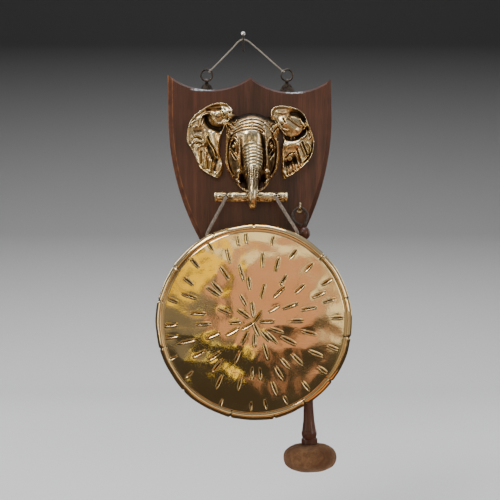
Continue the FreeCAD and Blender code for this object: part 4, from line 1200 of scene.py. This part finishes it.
def paint_head_shade_and_tint(piece):
    """Painted shade in the face's hollows and under the trunk, streaky darkening down the trunk, and copper
    at the trunk's tip and on the skull, painted as warm reflection.
    """
    x, y, z = (corners(piece) - DATUM).T
    behind = clamped((y + 72) / 4)
    # painted shade: the face's dark patches, low down only on what lies behind the trunk
    shade_patches = strokes(x, z, FACE_SHADE) * np.maximum(behind, z > -124)
    trunk = clamped((-116 - z) / 6) * clamped((z + 151) / 5) * (1 - behind)
    streak = np.sin(x * 2.6 + np.sin(z * 0.5)) * np.sin(z * 0.35 + x)
    set_value(piece, "grime_and_shade", shade_patches + trunk * (0.17 + 0.10 * streak))
    # copper tint: a painted warm reflection at the trunk's tip and on the skull behind the trunk
    set_value(piece, "copper", 0.9 * clamped((-151 - z) / 6) + 0.35 * behind)


def make_head():
    """The cast head, open-eyed, with a wrinkled brow, cheek folds to the tusk stubs, and ringed trunk."""
    clay = Clay((-42, -97, -176), (47, -18.5, -42), 0.52)
    x, z = clay.front()
    for middle, half, blend in SKULL:
        clay.ball(middle, half, blend)
    for blend, *stations in LIPS_AND_EAR_ROOTS:
        clay.tube(stations, blend)
    clay.emboss(strokes(x, z, BROW + LEFT_EYE + RIGHT_EYE + CHEEKS))
    for blend, *stations in SHEATHS_AND_TRUNK:
        clay.tube(stations, blend)
    trunk_rings(clay)
    clay.emboss(strokes(x, z, MUZZLE))
    for middle, half in TUSKS_AND_EYES:
        clay.ball(middle, half, SET_IN)
    clay.field = np.maximum(clay.field, clay.axes[1][None, :, None] - BOARD_FRONT)
    piece = clay.surface("cast_head")
    paint_head_shade_and_tint(piece)
    stand_in(piece, "plaque", "elephant_head", "cast_brass", BRASS)


# ---------------------------------------------------------------- the ears
# Each ear's outline, in X and Z from the plaque's datum.
EAR_OUTLINES = {
    "left": [
        (-21.5, -43.5), (-25, -36.5), (-31.5, -31.5), (-45, -31), (-64, -40), (-79, -55), (-83.5, -80),
        (-75, -97), (-66, -117), (-51, -127.5), (-41, -130), (-34.5, -117), (-39.5, -94), (-36, -70),
        (-27, -55),
    ],
    "right": [
        (26.5, -46), (30, -37.5), (38, -34.5), (53, -36), (69, -43), (78, -61), (84.5, -82), (80.5, -103),
        (66, -119), (46, -131), (41.5, -122), (40.5, -92), (44, -76), (34, -60),
    ],
}
# Half width, height and points of each ridge and groove, as on the head.
EAR_FOLDS = {
    "left": [
        (5.5, 4.2, (-42, -46.5), (-32, -44.5), (-24, -42)),
        (2.2, 3.8, (-51.5, -46.6), (-48, -53), (-44, -57.4), (-37.5, -58.5), (-31.5, -55)),
        (1.3, 3.2, (-65.3, -60.2), (-64.6, -53), (-61, -47.5), (-55.3, -45.6), (-51, -47.3)),
        (0.9, 1.8, (-63.2, -61.5), (-61.5, -55), (-59.6, -51)),
        (3.4, -4.6, (-58, -51), (-56, -57.4), (-50.3, -63), (-41.5, -65.5), (-34, -66)),
        (0.9, -2.8, (-32.8, -40.2)), (1, -3, (-26.7, -43.8)), (0.7, -2, (-35.6, -43), (-33.4, -48)),
        (0.9, 1.6, (-38, -42.5), (-35, -50)), (2, -2.8, (-56, -40), (-47, -39.5), (-39, -39)),
        (1, 1.8, (-77, -61), (-75.5, -57), (-70, -53.4)),
        (0.9, 1.5, (-74, -63), (-70, -61.4), (-67.5, -62.6)), (3.4, -1.4, (-71.5, -69), (-66, -68.4)),
        (0.9, 2, (-76.4, -76.2), (-70.3, -73), (-63, -75.4)),
        (0.9, -1.8, (-76, -79), (-69.6, -76.4), (-63, -79)),
        (0.9, 2, (-72.5, -82), (-67.5, -79.6), (-62.5, -82.4)),
        (0.9, 1.7, (-78, -88.5), (-75.4, -84), (-72, -83.4)),
        (0.9, -1.8, (-70.5, -84.8), (-67, -83), (-62.5, -85.6)),
        (0.9, 2, (-66.8, -89), (-62.5, -86.7), (-59.6, -88)),
        (1.6, 2.6, (-58.9, -68.8), (-57.3, -76), (-58.9, -82.4), (-61, -86)),
        (5, 3.6, (-47.4, -71), (-43.6, -83.9), (-40.8, -97)),
        (1, -2.6, (-55, -76), (-51.7, -83.9), (-46.7, -91.7), (-43.9, -101)),
        (0.9, 1.8, (-57.2, -77), (-53.8, -85), (-48.8, -93), (-46, -102)),
        (4, -2.4, (-55.3, -88.5), (-51.5, -98.2), (-46.5, -107.5)),
        (2.4, 3.2, (-69, -87.4), (-70.4, -94.6), (-68.2, -105.3), (-67, -110)),
        (1.3, 3, (-57.5, -97.5), (-58.9, -105.3), (-60, -115.4)),
        (1.3, 2.8, (-50.3, -106), (-51.7, -113.9), (-52.2, -121)),
        (2.2, 2.6, (-37, -113), (-40.3, -121), (-44.4, -126)), (1.6, -2.4, (-63.9, -96), (-63.9, -110)),
        (1.5, -2.4, (-55.3, -101.8), (-55.6, -117)), (2.8, -1.7, (-43.6, -106), (-46.4, -119)),
    ],
    "right": [
        (5.5, 3.4, (43.6, -56.2), (52, -61), (57.6, -66)),
        (1.4, 3.6, (31.7, -49), (36.6, -56.2), (42.2, -64.6), (49.2, -67.6)),
        (0.9, 2.2, (27.6, -47.5), (34.6, -58.5), (41.8, -68), (47, -74)),
        (1, 1.8, (36.5, -43), (43, -45), (48.5, -43.6)), (4, -4, (54.8, -45), (64, -47), (70.4, -53)),
        (1.1, 3.2, (49.2, -49.9), (54.8, -54.1), (61, -59), (68, -62.5)),
        (1.2, 3.2, (65.3, -52), (68.8, -57.6), (71.6, -63.2), (70.9, -66)),
        (1.1, -2.6, (43.5, -52.5), (46, -57)), (0.9, -2.6, (42, -60)),
        (0.9, 1.5, (45.5, -49), (47.5, -55), (46.5, -60)),
        (2.6, -5, (40, -74), (48.5, -77.2), (54.8, -78.8), (63, -76.5), (68.8, -71.6), (73.7, -66)),
        (1.1, 2.8, (73, -62), (74, -70), (70.9, -76), (66, -78)),
        (0.9, 1.6, (77.5, -70), (79.5, -75), (77, -79)), (6, 4.2, (49.4, -87), (59, -85.6)),
        (1.3, 2.6, (44, -83), (43.2, -94.6), (43.8, -105.1), (43.6, -116)),
        (4.6, -3.6, (49.6, -111), (55, -105.6), (60, -108.6)), (1, -2, (47, -103), (52, -97.6), (58.5, -96)),
        (1.2, 3.6, (57.6, -97.5), (61, -102.3), (63, -109.3), (64.6, -115)),
        (1.1, 3.2, (56.2, -110.7), (57.6, -118.4), (60, -122)),
        (1, 2.8, (49.4, -115), (50, -121), (51, -126)),
        (0.9, 2.6, (70.2, -82.8), (73.7, -91.2), (76.5, -98.2)),
        (0.9, -2.2, (68.4, -83), (72, -92), (75, -99.6)), (1, 2.4, (66.4, -84.2), (70, -92.6), (73.4, -101)),
        (1.8, 2.2, (64, -94), (66.7, -101.7), (68.8, -108.6)),
        (1, -2.4, (61.5, -92), (64.6, -102), (66.8, -110)), (0.9, 1.8, (76, -84), (79, -89), (79.5, -95)),
        (1.1, -2.4, (83, -80), (81.6, -93), (76, -103), (70, -109)),
        (1.9, 2.4, (45.5, -123), (49, -128.6), (55, -127.4), (64.6, -119.6), (74, -110.4)),
    ],
}
# Painted shade in the ears' deep grooves and under their folds: half width, amount and points.
EAR_SHADE = {
    "left": [
        (3.6, 0.22, (-57, -51), (-55, -58), (-48, -64), (-38, -66)),
        (2.4, 0.16, (-43.6, -106), (-46.4, -119)), (4, 0.1, (-74, -68), (-64, -69)),
        (3, 0.14, (-55, -90), (-49, -104)), (2.2, 0.14, (-62, -36.5), (-40, -36)),
    ],
    "right": [
        (3.4, 0.24, (41, -75), (50, -78.5), (62, -76.5), (72, -68)), (5, 0.24, (49.6, -110), (58, -106)),
        (4.2, 0.2, (56, -45), (64, -47), (70, -53)), (2, 0.12, (82, -82), (80.5, -94), (74, -104)),
    ],
}
# Where the ears are tinted copper: half width, amount and points.
EAR_COPPER = {
    "left": [
        (4.5, 0.8, (-58, -39), (-44, -35.5)), (4.5, 0.8, (-46, -58), (-39, -60)),
        (3.5, 0.8, (-46, -76), (-40, -98)), (5, 0.6, (-63, -58), (-60, -64)),
        (5, 0.4, (-60, -90), (-56, -104)), (4, 0.6, (-45, -112), (-42, -120)),
    ],
    "right": [
        (5, 0.9, (44, -44), (54, -42)), (6, 0.7, (49, -60), (64, -67)), (5, 0.8, (58, -90), (62, -98)),
        (5, 0.9, (51, -104), (56, -114)), (3.5, 0.9, (79, -66), (81, -80)), (3, 0.6, (66, -112), (52, -124)),
    ],
}
# The fixing screws' tips, 3.4 mm into the ears, which the folds leave covered.
EAR_SCREWS = {
    "left": ((-58, -78), (-54, -104)),
    "right": ((56, -78), (52, -104)),
}
# How far the metal over a screw's tip stands off the board, and the rounding of the ear's edge, in mm.
SCREW_COVER, EDGE_ROUND = 4.6, 2.4


def ear_height(side, x, z, edge):
    """How far an ear's front stands off the board: a plate rising outwards, its rim, folds and flutes."""
    away = np.abs(x - HEAD_X)
    plate = 4.6 + 3.2 * clamped((away - 30) / 50) ** 1.4
    rim = 3.0 * bell(edge + 1.2, 1.2) - 0.8 * bell(edge + 4.4, 1.8)
    rim = rim * (1 - 0.9 * clamped((48 - away) / 5) * clamped((-66 - z) / 8))
    rim = rim * (0.85 + 0.25 * np.sin(x * 0.31 + 1) * np.sin(z * 0.27))
    height = np.maximum(plate + rim + strokes(x, z, EAR_FOLDS[side]) * clamped(-edge / 2.6), 2.2)
    for screw_x, screw_z in EAR_SCREWS[side]:
        over = clamped((5.0 - np.hypot(x - screw_x, z - screw_z)) / 2.2)
        height = np.maximum(height, SCREW_COVER * over)
    return height


def make_ear(side):
    """A cast ear as a relief, its front and its edge meeting in a rounded corner."""
    outline = smooth_line(EAR_OUTLINES[side], 8, closed=True)
    (low_x, low_z), (high_x, high_z) = outline.min(0) - 2.5, outline.max(0) + 2.5
    clay = Clay((low_x, BOARD_FRONT - 18, low_z), (high_x, BOARD_FRONT + 1.2, high_z), 0.5)
    x, z = clay.front()
    edge = gap_to(x, z, outline, closed=True)
    edge = np.where(inside(x, z, outline), -edge, edge)
    stand = BOARD_FRONT - clay.axes[1][None, :, None]
    top = (stand - ear_height(side, x, z, edge)[:, None, :]) * 0.75
    wall = edge[:, None, :] + 0.12 * np.clip(stand - 3, 0, 9)
    clay.field = np.maximum(-melded(-wall, -top, EDGE_ROUND), -stand)
    piece = clay.surface(f"cast_ear_{side}")
    x, _, z = (corners(piece) - DATUM).T
    # painted shade in the ear's grooves, and its copper tint
    set_value(piece, "grime_and_shade", strokes(x, z, EAR_SHADE[side]))
    set_value(piece, "copper", clamped(strokes(x, z, EAR_COPPER[side])))
    stand_in(piece, "plaque", f"ear_{side}", "cast_brass", BRASS)


# ---------------------------------------------------------------- the bar
# How deep the bark's furrows are, in mm.
BARK = 0.55
# Knots in the bark: how far along and round the bar each is.
BAR_KNOTS = ((24, 0.6), (58, 5.6), (71, 1.4), (38, 4.5))
# Darker bands round the trunk and the thongs: X and half width.
BAR_DARK_BANDS = ((DATUM[0] + 3.2, 8), (-20, 3.4), (43, 3.4))


def make_bar():
    """The round bar, cast as a barked branch, with a rolled lip at each end and dents at its cross holes."""
    low, high = (np.array(c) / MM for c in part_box("gong_bar"))
    radius, middle = (high[2] - low[2]) / 2, (low + high) / 2
    length = high[0] - low[0]
    along = np.concatenate([[0.0, 0.15, 0.5, 1.0], np.arange(1.6, length - 1.5, 0.62),
                            [length - 1.0, length - 0.5, length - 0.15, length]])
    angle = around(72)
    s, a = np.meshgrid(along, angle, indexing="ij")
    x = middle[0] - length / 2 + s
    end = np.minimum(s, length - s)
    reach = radius * np.sqrt(np.clip(1 - (1 - clamped(end / 1.2)) ** 2, 0.55, 1))
    hand = np.random.default_rng(21)
    bark = np.zeros_like(s)
    for _ in range(26):
        bark += np.sin(a * hand.integers(3, 14) + s * hand.uniform(-0.5, 0.5) + hand.uniform(0, 6)
                       + 1.2 * np.sin(s * hand.uniform(0.1, 0.45) + hand.uniform(0, 6)))
    bark = np.abs(bark / 5.1) ** 0.7 * BARK
    lip = 0.35 * bell(end - 1.8, 1.0) - 0.3 * bell(end - 4.2, 1.2)
    for at, turn in BAR_KNOTS:
        lip = lip + 0.48 * bell(s - at, 2.2) * bell(angle_from(turn, a), 0.35)
    reach = reach + (lip - bark) * clamped(end / 1.5) - 0.1
    for route in THONG_ROUTES.values():
        off = angle_from(-math.pi / 2, a) * radius
        reach = reach - 2.2 * bell((x - route[0][0]) ** 2 + off**2, 4.4)
    points = np.stack([x, middle[1] + reach * np.sin(a), middle[2] + reach * np.cos(a)], axis=-1)
    grid, quads = lattice(*s.shape, turned=True)
    faces = [list(q) for q in quads] + [list(grid[0]), list(grid[-1][::-1])]
    piece = new_piece("cast_bar", points.reshape(-1, 3), faces)
    mark_hollows(piece)
    # darker in the bark's furrows, in bands at the trunk and thongs, and at the ends
    flake = 0.30 * np.clip(bark / BARK - 0.5, -0.3, 1)
    spots = sum(0.34 * bell(x - at, width) for at, width in BAR_DARK_BANDS)
    set_value(piece, "grime_and_shade", (flake + spots + 0.10 * bell(end, 3)).ravel())
    # copper tint on the bar's underside: a painted warm reflection
    set_value(piece, "copper", np.clip(0.30 - 1.1 * np.cos(a), 0, 0.9).ravel())
    stand_in(piece, "plaque", "gong_bar", "cast_brass", BRASS)


make_head()
for ear_side in ("left", "right"):
    make_ear(ear_side)
make_bar()


# ---------------------------------------------------------------- the beater's head
HEAD_MIDDLE, HEAD_LEAN = np.array((86.85, -36.5, -543.7)), math.radians(-1.54)
# The radius of the handle's collar, the most that the stuffing swells, and the mesh's fineness, in mm.
COLLAR, SWELL, FINENESS = 10.4, 0.9, 1.9
CLOTH_FRAMES = 20
# Each piece's name, CAD node, half width, half height and material slot.
PADS = (("suede_cover", "beater_cover", 33.8, 17.7, "cover_suede"),
        ("felt_padding", "beater_core", 30.6, 15.2, "core_felt"))


def baked(holder):
    """A piece's mesh with its modifiers worked in."""
    ready = holder.evaluated_get(bpy.context.evaluated_depsgraph_get())
    return bpy.data.meshes.new_from_object(ready)


def work_in(piece):
    """Applies a piece's modifiers."""
    finished = baked(piece)
    piece.modifiers.clear()
    piece.data = finished


def rounded_form(name, wide, tall):
    """A round flattened form, evened out by a voxel remesh."""
    rows, count = 30, 72
    height = np.cos(np.linspace(0, math.pi, rows + 2)[1:-1])
    reach = (1 - np.abs(height) ** 2.4) ** (1 / 3.0)
    angle = around(count)
    points = np.stack([reach[:, None] * np.cos(angle) * wide, reach[:, None] * np.sin(angle) * wide,
                       np.repeat(height[:, None], count, 1) * tall], axis=-1).reshape(-1, 3)
    grid, quads = lattice(rows, count, turned=True)
    faces = [list(q) for q in quads]
    faces += [[a, b, len(points)] for a, b in zip(grid[0], np.roll(grid[0], -1))]
    faces += [[b, a, len(points) + 1] for a, b in zip(grid[-1], np.roll(grid[-1], -1))]
    rough = new_piece(name + "_rough", np.vstack([points, (0, 0, tall), (0, 0, -tall)]), faces)
    remesh = rough.modifiers.new("even", "REMESH")
    remesh.mode = "VOXEL"
    remesh.voxel_size = FINENESS * MM
    form = baked(rough)
    form.name = name
    bpy.data.objects.remove(rough)
    return linked(name, form)


def stuff(piece):
    """Inflates a form as cloth, pinned at the collar, and caps how far each point has moved."""
    start = corners(piece)
    collar = piece.vertex_groups.new(name="collar")
    held = (np.hypot(start[:, 0], start[:, 1]) < COLLAR + 1) & (start[:, 2] > 0)
    collar.add([int(i) for i in np.flatnonzero(held)], 1.0, "REPLACE")
    cloth = piece.modifiers.new("stuffing", "CLOTH")
    cloth.settings.quality = 6
    cloth.settings.use_pressure = True
    cloth.settings.uniform_pressure_force = 4.0
    cloth.settings.shrink_min = -0.04
    cloth.settings.vertex_group_mass = "collar"
    cloth.settings.effector_weights.gravity = 0.0
    for number in range(1, CLOTH_FRAMES + 1):
        bpy.context.scene.frame_set(number)
    work_in(piece)
    move = corners(piece) - start
    far = np.linalg.norm(move, axis=1)[:, None]
    set_corners(piece, start + move * np.minimum(1, SWELL / np.maximum(far, 1e-6)))
    bpy.context.scene.frame_set(1)


def gather_and_lump(points, hand):
    """Pleats round the collar, and the lumps of old stuffing."""
    out = np.hypot(points[:, 0], points[:, 1])
    way_round = np.arctan2(points[:, 1], points[:, 0])
    upper = clamped(points[:, 2] / 6)
    gather = bell(out - COLLAR - 1.5, 5.5) * upper
    pleat = np.sin(17 * way_round + 1.5 * np.sin(3 * way_round)) + 0.4 * np.sin(29 * way_round)
    points[:, 2] += gather * (0.3 * pleat - 0.5)
    lumps = np.zeros(len(points))
    for _ in range(14):
        way = hand.normal(size=3)
        way /= np.linalg.norm(way)
        lumps += np.sin(points @ way * hand.uniform(0.12, 0.5) + hand.uniform(0, 6))
    return points + unit(points) * lumps[:, None] * 0.09


def make_beater_head():
    """The suede cover, gathered under the handle's collar and a little lumpy, over its felt padding."""
    hand = np.random.default_rng(8)
    turn = np.array(Matrix.Rotation(HEAD_LEAN, 3, "Y"))
    for (name, node, wide, tall, slot), material in zip(PADS, (suede(), felt())):
        piece = rounded_form(name, wide, tall)
        stuff(piece)
        smooth = piece.modifiers.new("smooth", "SUBSURF")
        smooth.levels = smooth.render_levels = 1
        work_in(piece)
        piece.data.shade_smooth()
        set_corners(piece, gather_and_lump(corners(piece), hand) @ turn.T + HEAD_MIDDLE)
        mark_hollows(piece)
        stand_in(piece, "beater", node, slot, material)


make_beater_head()
